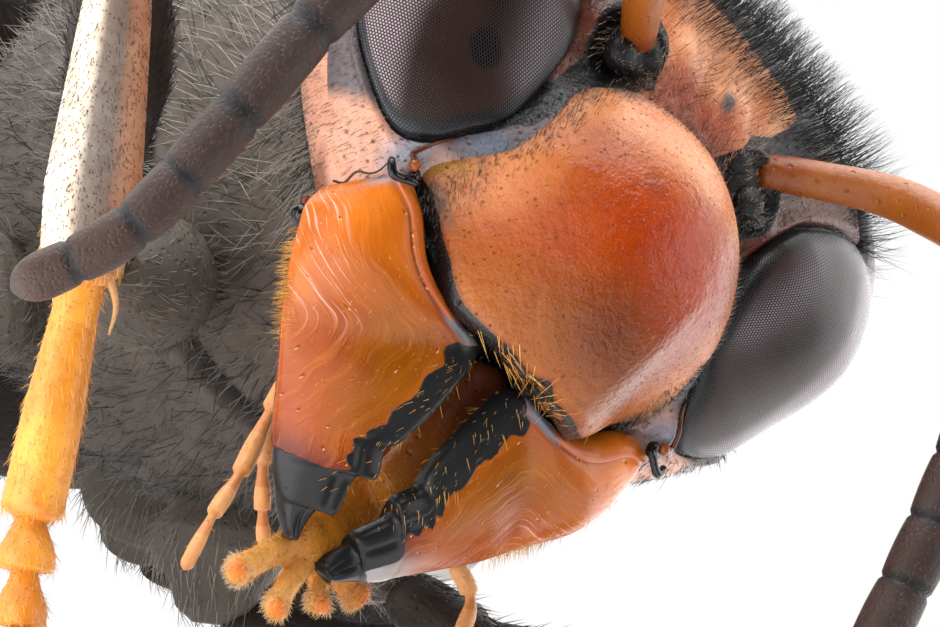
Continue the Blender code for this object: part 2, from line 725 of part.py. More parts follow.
def shortened(start, end, from_start, from_end):
    start, end = np.array(start, float), np.array(end, float)
    along = (end - start) / np.linalg.norm(end - start)
    return start + along * from_start, end - along * from_end


def limb(start, end, radii, sides=10):
    """A straight limb piece with round ends, and one ring for each radius, spread evenly between them."""
    along = (end - start) / np.linalg.norm(end - start)
    inner = np.linspace(start + along * radii[0] * 0.8, end - along * radii[-1] * 0.8, len(radii))
    line = [start, start + along * radii[0] * 0.3, *inner, end - along * radii[-1] * 0.3, end]
    sizes = [radii[0] * 0.45, radii[0] * 0.85, *radii, radii[-1] * 0.85, radii[-1] * 0.45]
    return tube(line, sizes, sides)


def claw(at, toward, side):
    toward = np.array((toward[0], toward[1], 0.0)) / math.hypot(toward[0], toward[1])
    across = np.array((toward[1], -toward[0], 0.0)) * side
    raised = np.array((0.0, 0.0, 0.06))
    line = (at - toward * 0.12 + raised, at + toward * 0.2 + across * 0.15 + raised, at + toward * 0.42 + across * 0.2)
    return tube(line, (0.09, 0.075, 0.04), 6)


def spur(start, end):
    """The movable spine at the tibia's lower end, clear of the foot."""
    along = end - start
    aside = np.cross(along, (0, 0, 1))
    aside = aside / np.linalg.norm(aside) * SPUR_OFFSET
    line = (start + along * 0.9 + aside * 0.4, start + along * 0.98 + aside, start + along * 1.1 + aside * 1.25)
    return tube(line, (0.13, 0.1, 0.035), 6)


def build_leg(name, finishes):
    root, hip, knee, ankle, instep, toes, tip = (np.array(point, float) for point in LEGS[name])
    size = LEG_THICKNESS[name.split("_")[0]]
    coxa = limb(root, hip, [COXA_RADIUS * size * scale for scale in (0.8, 1.0, 1.05, 0.95, 0.7)])
    add_part(f"coxa_{name}", cut(coxa, placed_thorax(GAP)), finishes["coxa"])
    start, end = shortened(hip, knee, HIP_GAP, KNEE_GAP)
    femur = limb(start, end, [FEMUR_RADIUS * size * scale for scale in (0.55, 0.62, 0.5, 0.8, 1.0, 1.0, 0.85, 0.6)], 8)
    femur = cut(femur, grown(coxa, JOINT_GAP))
    add_part(f"femur_{name}", femur, finishes["femur"])
    start, end = shortened(knee, ankle, KNEE_GAP, KNEE_GAP)
    tibia = limb(start, end, [TIBIA_RADIUS * size * scale for scale in (0.55, 0.75, 0.85, 0.95, 1.05, 0.95)], 8)
    tibia = cut(joined(tibia, spur(start, end)), grown(femur, JOINT_GAP))
    add_part(f"tibia_{name}", tibia, finishes["tibia"])
    build_tarsus(name, size, (ankle, instep, toes, tip), finishes["tarsus"])


def build_tarsus(name, size, joints, finish):
    """Five tarsomeres in a row, each wider at its end, with the two claws."""
    ankle, instep, toes, tip = joints
    start = shortened(ankle, instep, KNEE_GAP, 0)[0]
    middle = (instep + toes) / 2
    last = (toes + tip) / 2
    stops = (start, instep, middle, toes, last, tip)
    line, radii = [], []
    for k, (a, b) in enumerate(zip(stops, stops[1:])):
        shares = (0.0, 0.5, 0.96) if k else (0.0, 0.35, 0.7, 0.97)
        for share in shares:
            line.append(a + (b - a) * share)
            radii.append(TARSUS_RADIUS * size * (1 - 0.06 * k) * (0.72 + 0.28 * min(1.0, share * 1.4)))
    toward = tip - last
    foot = joined(tube(line, radii, 8), claw(line[-1], toward, 1), claw(line[-1], toward, -1))
    add_part(f"tarsus_{name}", cut(foot, box((-20, -20, -5), (20, 40, 0))), finish)


def main():
    clear_scene()
    face = material("orange_cuticle", (0.72, 0.22, 0.05), 0.4)
    eye = material("eye_brown", (0.06, 0.025, 0.02), 0.15)
    jaw = material("mandible_orange", (0.75, 0.3, 0.05), 0.35)
    mouth = material("mouth_yellow", (0.7, 0.35, 0.08), 0.5)
    scape = material("scape_orange", (0.55, 0.25, 0.08), 0.45)
    flagellum = material("flagellum_brown", (0.09, 0.055, 0.05), 0.6)
    dark = material("black_brown", (0.03, 0.02, 0.015), 0.5)
    leg = material("leg_grey_brown", (0.14, 0.1, 0.07), 0.5)
    yellow = material("band_yellow", (0.75, 0.4, 0.08), 0.45)
    brown = material("tail_brown", (0.2, 0.08, 0.03), 0.45)
    wing = material("wing_smoke", (0.16, 0.09, 0.05), 0.3)
    foot = material("tarsus_yellow", (0.8, 0.45, 0.08), 0.45)
    head = build_head(face)
    build_clypeus(face)
    build_eyes(eye)
    mandible = build_mandibles(jaw)
    build_tongue(mouth, head, mandible)
    build_palps(mouth)
    build_antenna("right", -1, RIGHT_ELBOW, RIGHT_FLAGELLUM, scape, flagellum)
    build_antenna("left", 1, LEFT_ELBOW, LEFT_FLAGELLUM, scape, flagellum)
    build_neck(dark)
    build_thorax(dark)
    build_petiole(dark)
    build_gaster((dark, dark, dark, yellow, brown, brown))
    build_wings(wing)
    finishes = {"coxa": dark, "femur": leg, "tibia": leg, "tarsus": foot}
    for name in LEGS:
        build_leg(name, finishes)


main()
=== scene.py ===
"""The hornet's looks: skins, eyes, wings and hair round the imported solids, with floor, light and camera.

Shapes are worked out in millimetres, in the same frame as the solids: X to the insect's left, Y backwards,
Z up. to_scene() turns them into metres about the base's middle.
"""

import math

import bpy
import numpy as np
from mathutils import Matrix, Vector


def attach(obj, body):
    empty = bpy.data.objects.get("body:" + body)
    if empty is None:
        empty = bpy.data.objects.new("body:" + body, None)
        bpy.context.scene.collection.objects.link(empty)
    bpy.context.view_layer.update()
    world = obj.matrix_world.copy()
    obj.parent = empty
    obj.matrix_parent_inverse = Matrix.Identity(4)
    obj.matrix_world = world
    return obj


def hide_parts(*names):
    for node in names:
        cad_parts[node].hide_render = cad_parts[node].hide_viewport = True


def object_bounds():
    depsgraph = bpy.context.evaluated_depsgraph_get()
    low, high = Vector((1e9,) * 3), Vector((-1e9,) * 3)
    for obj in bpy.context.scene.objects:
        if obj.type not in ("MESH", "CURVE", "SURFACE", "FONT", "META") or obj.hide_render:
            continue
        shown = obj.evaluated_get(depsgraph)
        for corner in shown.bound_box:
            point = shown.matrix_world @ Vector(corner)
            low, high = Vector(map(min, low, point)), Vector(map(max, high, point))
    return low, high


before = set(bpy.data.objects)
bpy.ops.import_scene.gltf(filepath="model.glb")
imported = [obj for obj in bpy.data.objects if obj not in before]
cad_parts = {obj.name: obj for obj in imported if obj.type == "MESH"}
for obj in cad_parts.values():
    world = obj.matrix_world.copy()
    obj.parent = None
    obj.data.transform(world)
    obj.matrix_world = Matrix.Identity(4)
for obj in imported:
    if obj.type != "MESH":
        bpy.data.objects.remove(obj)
SOLID_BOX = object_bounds()

MM = 0.001
BASE_MIDDLE = np.array((0.0, 7.93, 0.0))
SIDES = (("left", 1), ("right", -1))
LEG_NAMES = ("fore", "mid", "hind")

HEAD_AT = np.array((0.0, 0.0, 6.3))
HEAD_PITCH = math.radians(-31.64)
HEAD_TURN = math.radians(14.0)
HEAD_WIDE = 2.85
TEMPLE_WIDENING = 0.35
HEAD_DEEP = 1.25
HEAD_BACK = 1.3
HEAD_TOP = 2.75
HEAD_LOW = 2.35
CHEEK_NARROWING = 0.14

TINY = 1e-12
FAR = 1e9

rng = np.random.default_rng(7)
skins = {}


def turn_x(angle):
    c, s = math.cos(angle), math.sin(angle)
    return np.array(((1, 0, 0), (0, c, -s), (0, s, c)))


def turn_z(angle):
    c, s = math.cos(angle), math.sin(angle)
    return np.array(((c, -s, 0), (s, c, 0), (0, 0, 1)))


HEAD_AXES = turn_z(HEAD_TURN) @ turn_x(HEAD_PITCH)


def from_head(points):
    return np.asarray(points, float) @ HEAD_AXES.T + HEAD_AT


def head_direction(directions):
    return np.asarray(directions, float) @ HEAD_AXES.T


def to_head(points):
    return (np.asarray(points, float) - HEAD_AT) @ HEAD_AXES


def mirrored(points, side):
    return np.asarray(points, float) * (side, 1, 1)


def to_scene(points):
    return (np.asarray(points, float) - BASE_MIDDLE) * MM


def eased(t):
    t = np.clip(t, 0.0, 1.0)
    return t * t * (3 - 2 * t)


def rise(value, start, width):
    """0 below start, 1 from width past it."""
    return eased((value - start) / width)


def fall(value, end, width):
    """0 from end on, 1 until width before it."""
    return eased((end - value) / width)


def near(value, middle, reach, power=2):
    """1 where value is at middle, falling towards 0 past reach. A higher power gives a flatter top."""
    return np.exp(-((value - middle) / reach) ** power)


def unit(vectors):
    vectors = np.asarray(vectors, float)
    return vectors / np.maximum(np.linalg.norm(vectors, axis=-1, keepdims=True), TINY)


def smooth_path(points, count, closed=False):
    """count points of a Catmull-Rom curve through these points, evenly spaced along each span."""
    points = np.asarray(points, float)
    if closed:
        held = np.vstack((points[-1:], points, points[:2]))
    else:
        held = np.vstack((2 * points[0] - points[1], points, 2 * points[-1] - points[-2]))
    spans = len(held) - 3
    places = np.linspace(0, spans, count, endpoint=not closed)
    first = np.minimum(places.astype(int), spans - 1)
    t = (places - first)[:, None]
    a, b, c, d = (held[first + k] for k in range(4))
    return 0.5 * (2 * b + (c - a) * t + (2 * a - 5 * b + 4 * c - d) * t**2 + (3 * b - a - 3 * c + d) * t**3)


def grid_faces(rows, columns, wrap=False, first=0):
    """Triangles over a grid of points, row by row. With wrap, each row's last column joins its first."""
    r, c = np.meshgrid(np.arange(rows - 1), np.arange(columns if wrap else columns - 1), indexing="ij")
    r, c = r.ravel(), c.ravel()
    across = (c + 1) % columns
    a, b = r * columns + c, r * columns + across
    d, e = (r + 1) * columns + c, (r + 1) * columns + across
    return np.concatenate((np.stack((a, b, e), 1), np.stack((a, e, d), 1))) + first


def closed_grid(rings):
    """(points, faces) over rings of equally many points, each end closed by a fan to its middle."""
    rings = np.asarray(rings, float)
    rows, columns = rings.shape[:2]
    points = np.concatenate((rings.reshape(-1, 3), rings[:1].mean(axis=1), rings[-1:].mean(axis=1)))
    i = np.arange(columns)
    j = (i + 1) % columns
    start, end = np.full(columns, len(points) - 2), np.full(columns, len(points) - 1)
    last = (rows - 1) * columns
    fans = (np.stack((j, i, start), 1), np.stack((last + i, last + j, end), 1))
    return points, np.concatenate((grid_faces(rows, columns, wrap=True), *fans))


def tube_rings(path, radii, sides, up=(0, 0, 1)):
    """Rings round a path. radii holds one radius or one pair for each point."""
    path = np.asarray(path, float)
    along = unit(np.gradient(path, axis=0))
    across = unit(np.cross(along, up))
    raised = np.cross(across, along)
    radii = np.asarray(radii, float)
    wide, high = (radii[:, 0], radii[:, 1]) if radii.ndim == 2 else (radii, radii)
    turns = np.linspace(0, 2 * math.pi, sides, endpoint=False)
    return (path[:, None] + across[:, None] * (wide[:, None] * np.cos(turns))[..., None]
            + raised[:, None] * (high[:, None] * np.sin(turns))[..., None])


def merged(*shapes):
    points, faces, count = [], [], 0
    for some, rows in shapes:
        points.append(some)
        faces.append(rows + count)
        count += len(some)
    return np.concatenate(points), np.concatenate(faces)


def volume_of(points, faces):
    a, b, c = (points[faces[:, k]] for k in range(3))
    return np.einsum("ij,ij->i", a, np.cross(b, c)).sum() / 6


def normals_of(points, faces):
    a, b, c = (points[faces[:, k]] for k in range(3))
    facing = np.cross(b - a, c - a)
    found = np.zeros_like(points)
    for k in range(3):
        np.add.at(found, faces[:, k], facing)
    return unit(found)


def linked(name, data):
    """A new object in the scene."""
    made = bpy.data.objects.new(name, data)
    bpy.context.scene.collection.objects.link(made)
    return made


def piece(name, shape, finish, replaces=(), fields=None, uv=None, outward=True):
    """A mesh object from points in millimetres and triangles. fields holds a number, a vector or a colour
    for each point, and uv a pair for each point."""
    points, faces = shape
    if outward and volume_of(points, faces) < 0:
        faces = faces[:, ::-1]
    skins[name] = (points, faces)
    mesh = bpy.data.meshes.new(name)
    mesh.vertices.add(len(points))
    mesh.vertices.foreach_set("co", to_scene(points).astype(np.float32).ravel())
    mesh.loops.add(faces.size)
    mesh.loops.foreach_set("vertex_index", faces.astype(np.int32).ravel())
    mesh.polygons.add(len(faces))
    mesh.polygons.foreach_set("loop_start", np.arange(0, faces.size, 3, dtype=np.int32))
    mesh.polygons.foreach_set("use_smooth", np.ones(len(faces), bool))
    for key, values in (fields or {}).items():
        values = np.asarray(values, np.float32)
        if values.ndim == 1:
            mesh.attributes.new(key, "FLOAT", "POINT").data.foreach_set("value", values)
        elif key == "tint":
            full = np.concatenate((values, np.ones((len(values), 1), np.float32)), axis=1)
            mesh.attributes.new(key, "FLOAT_COLOR", "POINT").data.foreach_set("color", full.ravel())
        else:
            mesh.attributes.new(key, "FLOAT_VECTOR", "POINT").data.foreach_set("vector", values.ravel())
    if uv is not None:
        layer = mesh.uv_layers.new(name="OFBake")
        layer.data.foreach_set("uv", np.asarray(uv, np.float32)[faces.ravel()].ravel())
    mesh.update(calc_edges=True)
    mesh.validate()
    made = linked(name, mesh)
    mesh.materials.append(finish)
    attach(made, "root")
    if replaces:
        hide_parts(*replaces)
    return made


def plain_fields(tint):
    """The fields of a piece without black marks."""
    return {"tint": tint, "dark": np.full(len(tint), -1.0)}


MARK_BLACK = (0.006, 0.006, 0.007)
MOTTLE = (0.6, 0.3, 0.16)
FINE_MOTTLE = (0.5, 0.22, 0.1)
PUNCTURE = (0.12, 0.025, 0.008)
GRAIN_SCALE = 45.0


class Tree:
    """A short way to write a material's nodes."""

    def __init__(self, name):
        self.material = bpy.data.materials.new(name)
        self.material.use_nodes = True
        self.tree = self.material.node_tree
        self.shader = self.tree.nodes["Principled BSDF"]

    def add(self, kind, inputs=None, **settings):
        made = self.tree.nodes.new(kind)
        for key, value in settings.items():
            setattr(made, key, value)
        for key, value in (inputs or {}).items():
            if isinstance(value, bpy.types.NodeSocket):
                self.tree.links.new(value, made.inputs[key])
            else:
                made.inputs[key].default_value = value
        return made

    def math(self, operation, a, b=0.0):
        return self.add("ShaderNodeMath", {0: a, 1: b}, operation=operation).outputs[0]

    def vector(self, operation, a, b=(0, 0, 0), output="Vector", scale=None):
        inputs = {0: a, 1: b}
        if scale is not None:
            inputs["Scale"] = scale
        return self.add("ShaderNodeVectorMath", inputs, operation=operation).outputs[output]

    def noise(self, place, scale, detail=3.0, rough=0.55):
        inputs = {"Vector": place, "Scale": scale, "Detail": detail, "Roughness": rough}
        return self.add("ShaderNodeTexNoise", inputs).outputs["Fac"]

    def cells(self, place, scale, feature="F1", output="Distance"):
        return self.add("ShaderNodeTexVoronoi", {"Vector": place, "Scale": scale},
                        feature=feature).outputs[output]

    def ramp(self, value, low, high, to_low=0.0, to_high=1.0):
        inputs = {"Value": value, "From Min": low, "From Max": high, "To Min": to_low, "To Max": to_high}
        return self.add("ShaderNodeMapRange", inputs, interpolation_type="SMOOTHSTEP").outputs[0]

    def mix(self, share, a, b, blend="MIX"):
        made = self.add("ShaderNodeMix", data_type="RGBA", blend_type=blend)
        for key, value in ((0, share), (6, a), (7, b)):
            if isinstance(value, bpy.types.NodeSocket):
                self.tree.links.new(value, made.inputs[key])
            else:
                made.inputs[key].default_value = value if key == 0 else (*value, 1)
        return made.outputs[2]

    def field(self, name, output="Fac"):
        return self.add("ShaderNodeAttribute", attribute_name=name).outputs[output]

    def place(self):
        """Object coordinates in millimetres."""
        return self.vector("SCALE", self.add("ShaderNodeTexCoord").outputs["Object"], scale=1 / MM)

    def bump(self, height, depth, strength=1.0, before=None):
        """depth is the height's reach in millimetres."""
        inputs = {"Height": height, "Distance": depth * MM, "Strength": strength}
        if before is not None:
            inputs["Normal"] = before
        return self.add("ShaderNodeBump", inputs).outputs["Normal"]

    def set(self, **values):
        for key, value in values.items():
            name = key.replace("_", " ").title().replace("Ior", "IOR")
            if isinstance(value, bpy.types.NodeSocket):
                self.tree.links.new(value, self.shader.inputs[name])
            else:
                if name in ("Base Color", "Sheen Tint", "Coat Tint", "Specular Tint"):
                    value = (*value, 1)
                self.shader.inputs[name].default_value = value
        return self.material


def cuticle(name, pit_scale, pit_size, pit_depth, rough, grain=0.003, pit_dark=0.55, mottle=0.35,
            edge=0.25, level=0.5, rugose=0.0):
    """Punctured body wall. The fields tint and dark, its colour, with painted sheen and highlights on some
    pieces, and its black marks, are on the mesh.
    """
    t = Tree(name)
    place = t.place()
    large = t.noise(place, 1.6, 4)
    small = t.noise(place, 9.0, 4)
    tint = t.field("tint", "Color")
    tint = t.mix(t.ramp(large, 0.35, 0.7, 0.0, mottle), tint, MOTTLE, "MULTIPLY")
    tint = t.mix(t.ramp(small, 0.45, 0.75, 0.0, mottle * 0.7), tint, FINE_MOTTLE, "MULTIPLY")
    shake = t.math("MULTIPLY", t.math("SUBTRACT", t.noise(place, 7.0, 5, 0.65), 0.5), edge * 2)
    dark = t.ramp(t.math("ADD", t.field("dark"), shake), -0.1, 0.12)
    pits = t.cells(place, pit_scale)
    pit = t.ramp(pits, pit_size * 0.35, pit_size, 1.0, 0.0)
    tint = t.mix(t.math("MULTIPLY", pit, pit_dark), tint, PUNCTURE)
    colour = t.mix(dark, tint, MARK_BLACK)
    fine = t.noise(place, GRAIN_SCALE, 2)
    normal = t.bump(fine, grain)
    if rugose:
        normal = t.bump(t.noise(place, 15.0, 3, 0.6), rugose, before=normal)
    normal = t.bump(t.ramp(pits, pit_size * 0.3, pit_size * 1.25), pit_depth, before=normal)
    normal = t.bump(t.noise(place, 5.0, 3), 0.02, before=normal)
    roughness = t.ramp(fine, 0.3, 0.7, rough - 0.08, rough + 0.1)
    return t.set(base_color=colour, roughness=roughness, normal=normal, specular_ior_level=level)


def head_ring(z):
    """The head's size at this height: its scale, its half width and how square its outline is."""
    above = np.maximum(0.0, 1 - (np.maximum(z, 0) / HEAD_TOP) ** 4) ** 0.25
    below = np.sqrt(np.maximum(0.0, 1 - (np.minimum(z, 0) / HEAD_LOW) ** 2))
    scale = np.where(z > 0, above, below) * (1 - CHEEK_NARROWING * eased((-z - 0.3) / 1.2))
    return scale, HEAD_WIDE + TEMPLE_WIDENING * rise(z, -0.7, 2.5), 2 + 0.8 * rise(z, -0.9, 1.9)


def head_surface(angle, z):
    """On the head: angle in degrees from the middle of its front, z up."""
    angle, z = np.broadcast_arrays(np.asarray(angle, float), np.asarray(z, float))
    scale, wide, power = head_ring(z)
    sine, cosine = np.sin(np.radians(angle)), np.cos(np.radians(angle))
    deep = np.where(cosine < 0, HEAD_BACK, HEAD_DEEP)
    x = np.sign(sine) * np.abs(sine) ** (2 / power)
    y = -np.sign(cosine) * np.abs(cosine) ** (2 / power)
    return np.stack((wide * scale * x, deep * scale * y, z), axis=-1)


def head_normal(angle, z):
    return unit(np.cross(head_surface(angle + 1, z) - head_surface(angle - 1, z),
                         head_surface(angle, z + 0.02) - head_surface(angle, z - 0.02)))


def angle_of_turn(turn, z):
    """The head_surface angle that lies at this turn round the head, so that points can be spread evenly."""
    power = head_ring(z)[2]
    sine, cosine = np.sin(turn), np.cos(turn)
    angle = np.arctan2(np.abs(sine) ** (power / 2), np.abs(cosine) ** (power / 2))
    angle = np.where(cosine < 0, math.pi - angle, angle)
    return np.degrees(np.where(sine < 0, -angle, angle))


def segment_distance(points, start, end, least=0.0):
    """Distance to a straight piece of line in a plane. least keeps a piece of no length from failing."""
    (ax, ay), (bx, by) = start, end
    dx, dy = bx - ax, by - ay
    u, v = points[..., 0] - ax, points[..., 1] - ay
    t = np.clip((u * dx + v * dy) / (dx * dx + dy * dy + least), 0, 1)
    return np.hypot(u - t * dx, v - t * dy)


def outline_distance(points, outline):
    """Signed distance to a closed line in a plane: above 0 inside it."""
    shape = points.shape[:-1]
    points = points.reshape(-1, 2)
    best = np.full(len(points), FAR)
    inside = np.zeros(len(points), bool)
    for start, end in zip(outline, np.roll(outline, -1, axis=0)):
        best = np.minimum(best, segment_distance(points, start, end, TINY))
        rise_of_line = end[1] - start[1]
        crosses = (start[1] > points[:, 1]) != (end[1] > points[:, 1])
        level = (end[0] - start[0]) * (points[:, 1] - start[1]) / (rise_of_line if rise_of_line else TINY)
        inside ^= crosses & (points[:, 0] < level + start[0])
    return np.where(inside, best, -best).reshape(shape)


EYE_DEGREE = 0.05
EYE_OUTLINE = smooth_path((
    (49.5, -0.82), (39.5, -0.6), (31, -0.34), (26, 0.02), (21.5, 0.5), (21.2, 0.83), (24, 1.13), (27, 1.3),
    (36, 1.58), (48, 1.78), (57, 1.86), (62, 1.95), (59, 2.05), (53, 2.12), (51, 2.24), (54, 2.36),
    (61, 2.43), (74, 2.34), (86, 1.9), (89, 1.0), (85, 0.1), (74, -0.5), (62, -0.86),
), 140, closed=True) * (EYE_DEGREE, 1.0)
EYE_BULGE = 0.3
EYE_REACH = 1.4

CLYPEUS_MIDDLE = np.array((0.0, -0.45))
CLYPEUS_HALF = (
    (0, 0.78), (0.68, 0.7), (1.15, 0.34), (1.33, -0.2), (1.45, -0.6), (1.68, -0.92), (1.49, -1.14),
    (1.31, -1.3), (1.15, -1.49), (1.03, -1.67), (0.87, -1.84), (0.64, -1.96), (0.4, -2.02), (0.17, -2.05),
    (0, -2.0),
)
CLYPEUS_OUTLINE = smooth_path(list(CLYPEUS_HALF) + [(-x, z) for x, z in CLYPEUS_HALF[-2:0:-1]], 240,
                              closed=True)


def clypeus_front(x, z):
    """y of the clypeus, which is highest at its middle."""
    up = z - CLYPEUS_MIDDLE[1]
    curve = np.where(up > 0, 0.43, 0.333)
    return -2.15 + 0.43 * x * x + curve * up * up + 0.6 * rise(np.abs(x), 0.38, 1.1) * eased(-up)


ANTENNA_SOCKET = np.array((0.95, -1.55, 1.0))
MOUTH_MIDDLE = np.array((0, -0.25, -2.45))
MOUTH_HALF = np.array((1.5, 1.15, 1.15))
SOCKET_PATCH = np.array((
    (0.46, 0.95), (0.6, 1.16), (0.66, 1.38), (0.92, 1.6), (1.1, 1.88), (1.19, 2.12), (1.6, 2.12),
    (1.42, 1.8), (1.32, 1.4), (1.26, 1.05), (1.16, 0.88), (1.2, 0.6), (1.31, 0.34), (1.45, 0.0),
    (1.54, -0.36),
    (1.42, -0.3), (1.3, 0.0), (1.16, 0.34), (0.8, 0.68),
))
GENA_ANGLES = (0, 45, 53.7, 58.9, 64.6, 71.6, 83, 100, 124, 180)
GENA_LINE = (-1.0, -1.0, -1.07, -1.14, -1.24, -1.32, -1.39, -1.43, -1.47, -1.5)


HEAD_FRONT_COLUMNS = 280
HEAD_BACK_COLUMNS = 70
HEAD_ROWS = 210


def head_shape():
    """The head capsule in its own frame, what is known at each point of its grid, and the points' angles."""
    turns = np.concatenate((np.linspace(-100, 100, HEAD_FRONT_COLUMNS),
                            np.linspace(100, 260, HEAD_BACK_COLUMNS)[1:-1]))
    turns = np.radians(turns)
    sine = np.sin(np.radians(np.linspace(-88.5, 88.5, HEAD_ROWS)))
    heights = np.where(sine > 0, sine * HEAD_TOP, sine * HEAD_LOW)
    turn, z = np.meshgrid(turns, heights)
    angle = angle_of_turn(turn, z)
    points = head_surface(angle, z)
    normals = head_normal(angle, z)
    front = points[..., 1] < 0.4
    flat = np.stack((np.abs(angle) * EYE_DEGREE, z), axis=-1)
    eye = outline_distance(flat, EYE_OUTLINE)
    lift = 0.045 * near(eye, -0.1, 0.06) - 0.05 * near(eye, -0.01, 0.04)
    lift -= 0.2 * rise(eye, 0.1, 0.3)
    x = points[..., 0]
    side_x = np.abs(x)
    centre = points[..., 1] < 0
    frons = near(z, 1.15, 0.55) * near(side_x, 0, 0.75, 4) * centre
    lift += 0.16 * frons
    lift -= 0.09 * near(side_x, 0, 0.09) * near(z, 1.35, 0.35) * centre
    socket = np.hypot(side_x - ANTENNA_SOCKET[0], z - ANTENNA_SOCKET[2]) + 9.0 * ~centre
    lift += 0.09 * near(socket, 0.36, 0.08) - 0.1 * near(socket, 0, 0.28, 4)
    lift += 0.07 * np.exp(-((side_x - 0.42) / 0.16) ** 2 - ((z - 1.35) / 0.3) ** 2) * centre
    points = points + normals * lift[..., None]
    plate = outline_distance(points[..., (0, 2)], CLYPEUS_OUTLINE)
    target = clypeus_front(x, z) + 0.05 + 0.35 * eased(plate / 0.25)
    share = np.where(plate > 0, 1.0, near(plate, 0, 0.3)) * (points[..., 1] < 0)
    share *= fall(side_x, 1.9, 0.3)
    points[..., 1] += (target - points[..., 1]) * share
    under = eased((np.interp(np.abs(angle), GENA_ANGLES, GENA_LINE) - z) / 0.2)
    points[..., 0] *= 1 - 0.34 * under
    points[..., 1] = points[..., 1] * (1 - 0.25 * under) + 0.1 * under
    out = (points - MOUTH_MIDDLE) / MOUTH_HALF
    inward = np.array((0.0, 0.75, 0.65))
    step = inward / MOUTH_HALF
    b, c = (out * step).sum(axis=-1), (out * out).sum(axis=-1) - 1
    reach = (-b + np.sqrt(np.maximum(b * b - (step * step).sum() * c, 0))) / (step * step).sum()
    hollow = (c < 0) & front
    points = points + np.where(hollow, reach, 0.0)[..., None] * inward
    shape = closed_grid(points)
    field = {"z": z, "eye": eye, "plate": plate, "socket": socket,
             "mouth": np.where(hollow, 1.0, 0.0), "under": under}
    return shape, field, angle


def padded(values):
    """Grid values with one more for each of the two end points of closed_grid."""
    flat = values.reshape(-1, *values.shape[2:])
    return np.concatenate((flat, flat[:1], flat[-1:]))


def blend(base, colour, share):
    return base + (np.asarray(colour) - base) * share[..., None]


CHEEK_PINK = (0.72, 0.37, 0.25)
FRONS_ORANGE = (0.74, 0.33, 0.15)
FRONS_STRIP = (0.6, 0.15, 0.02)
BROW_RED = (0.42, 0.09, 0.045)
SOCKET_BROWN = (0.2, 0.04, 0.018)
FRONS_SPOT = (0.06, 0.065, 0.085)
SINUS_BROWN = (0.09, 0.018, 0.008)
MALAR_PAINTED_SHEEN = (0.36, 0.38, 0.46)
FUZZ_GREY = (0.1, 0.095, 0.105)
PATCH_BLUE = (0.12, 0.14, 0.19)
UNDER_BROWN = (0.34, 0.13, 0.08)
REAR_BROWN = (0.2, 0.05, 0.02)


def make_head(finish):
    shape, field, angle = head_shape()
    points, faces = shape
    grid = points[:-2].reshape(*angle.shape, 3)
    x, y, z = np.abs(grid[..., 0]), grid[..., 1], field["z"]
    turned = np.abs(angle)
    tint = np.zeros((*angle.shape, 3)) + CHEEK_PINK
    front = y < 0
    frons = rise(z, 0.9, 0.4) * fall(x, 1.35, 0.3) * front
    tint = blend(tint, FRONS_ORANGE, frons)
    strip = near(x, 0.7, 0.13) * rise(z, 1.0, 0.2) * fall(z, 2.1, 0.3) * front
    tint = blend(tint, FRONS_STRIP, 0.85 * strip)
    red = near(z, 0.95, 0.42, 4) * near(x, 0, 0.62, 4) * front
    tint = blend(tint, BROW_RED, 0.92 * red)
    inner = front * rise(turned, 12, 8) * fall(turned, 40, 15) * fall(z, 1.0, 0.3) * rise(z, -0.4, 0.3)
    tint = blend(tint, SOCKET_BROWN, 0.9 * inner)
    spot = np.exp(-(((grid[..., 0] - 0.22) / 0.07) ** 2 + ((z - 1.38) / 0.12) ** 2) ** 2) * front
    tint = blend(tint, FRONS_SPOT, spot)
    sinus = rise(x, 1.08, 0.16) * rise(z, 0.35, 0.3) * fall(z, 2.45, 0.2) * (turned < 80)
    tint = blend(tint, SINUS_BROWN, 0.97 * sinus)
    to_line = z - np.interp(turned, GENA_ANGLES, GENA_LINE)
    # The area under each eye is painted grey-blue: a painted sheen, standing in for reflected light.
    malar = near(turned, 53, 11) * near(to_line, 0.1, 0.14)
    tint = blend(tint, MALAR_PAINTED_SHEEN, np.minimum(1.0, 1.3 * malar))
    fuzzy = front * rise(x, 1.1, 0.1) * rise(z, -0.86, 0.14) * fall(z, 0.5, 0.3) * (field["plate"] < 0.02)
    tint = blend(tint, FUZZ_GREY, 0.95 * fuzzy)
    patch = np.exp(-((x - 1.56) / 0.12) ** 2 - ((z + 0.62) / 0.12) ** 2) * front
    tint = blend(tint, PATCH_BLUE, np.minimum(1.0, 1.4 * patch))
    tint = blend(tint, UNDER_BROWN, fall(to_line, 0.05, 0.06) * rise(turned, 58, 10))
    rear = rise(turned, 92, 10) * rise(to_line, -0.05, 0.05) * fall(to_line, 0.45, 0.25)
    tint = blend(tint, REAR_BROWN, 0.8 * rear)
    dark = np.full(angle.shape, -1.0)

    def add_dark(values):
        np.maximum(dark, values, out=dark)

    edge_z = np.where(y < 0.2, np.interp(x, (0, 0.9, 1.2, 1.6, 2.2, 2.6),
                                         (2.17, 2.15, 2.05, 2.1, 2.3, 2.35)), 1.95)
    add_dark((z - edge_z) / 0.4)
    add_dark((turned - 116) / 8)
    add_dark((0.4 - field["socket"]) / 0.1)
    add_dark(np.where(front, outline_distance(np.stack((x, z), axis=-1), SOCKET_PATCH) / 0.06 + 0.3, -1.0))
    add_dark(np.where(field["mouth"] > 0.5, 1.0, -1.0))
    add_dark((0.022 - np.abs(field["eye"] + 0.02)) / 0.03)
    add_dark((field["under"] - 0.3) / 0.3)
    fields = {"tint": padded(tint), "dark": padded(np.clip(dark, -1, 1))}
    return piece("head_skin", (from_head(points), faces), finish, ("head",), fields)


def depth_of(rings, depth):
    """The distance in from the edge, for the rings under the edge too."""
    return np.concatenate((depth, np.zeros((len(rings) - len(depth), depth.shape[1]))))


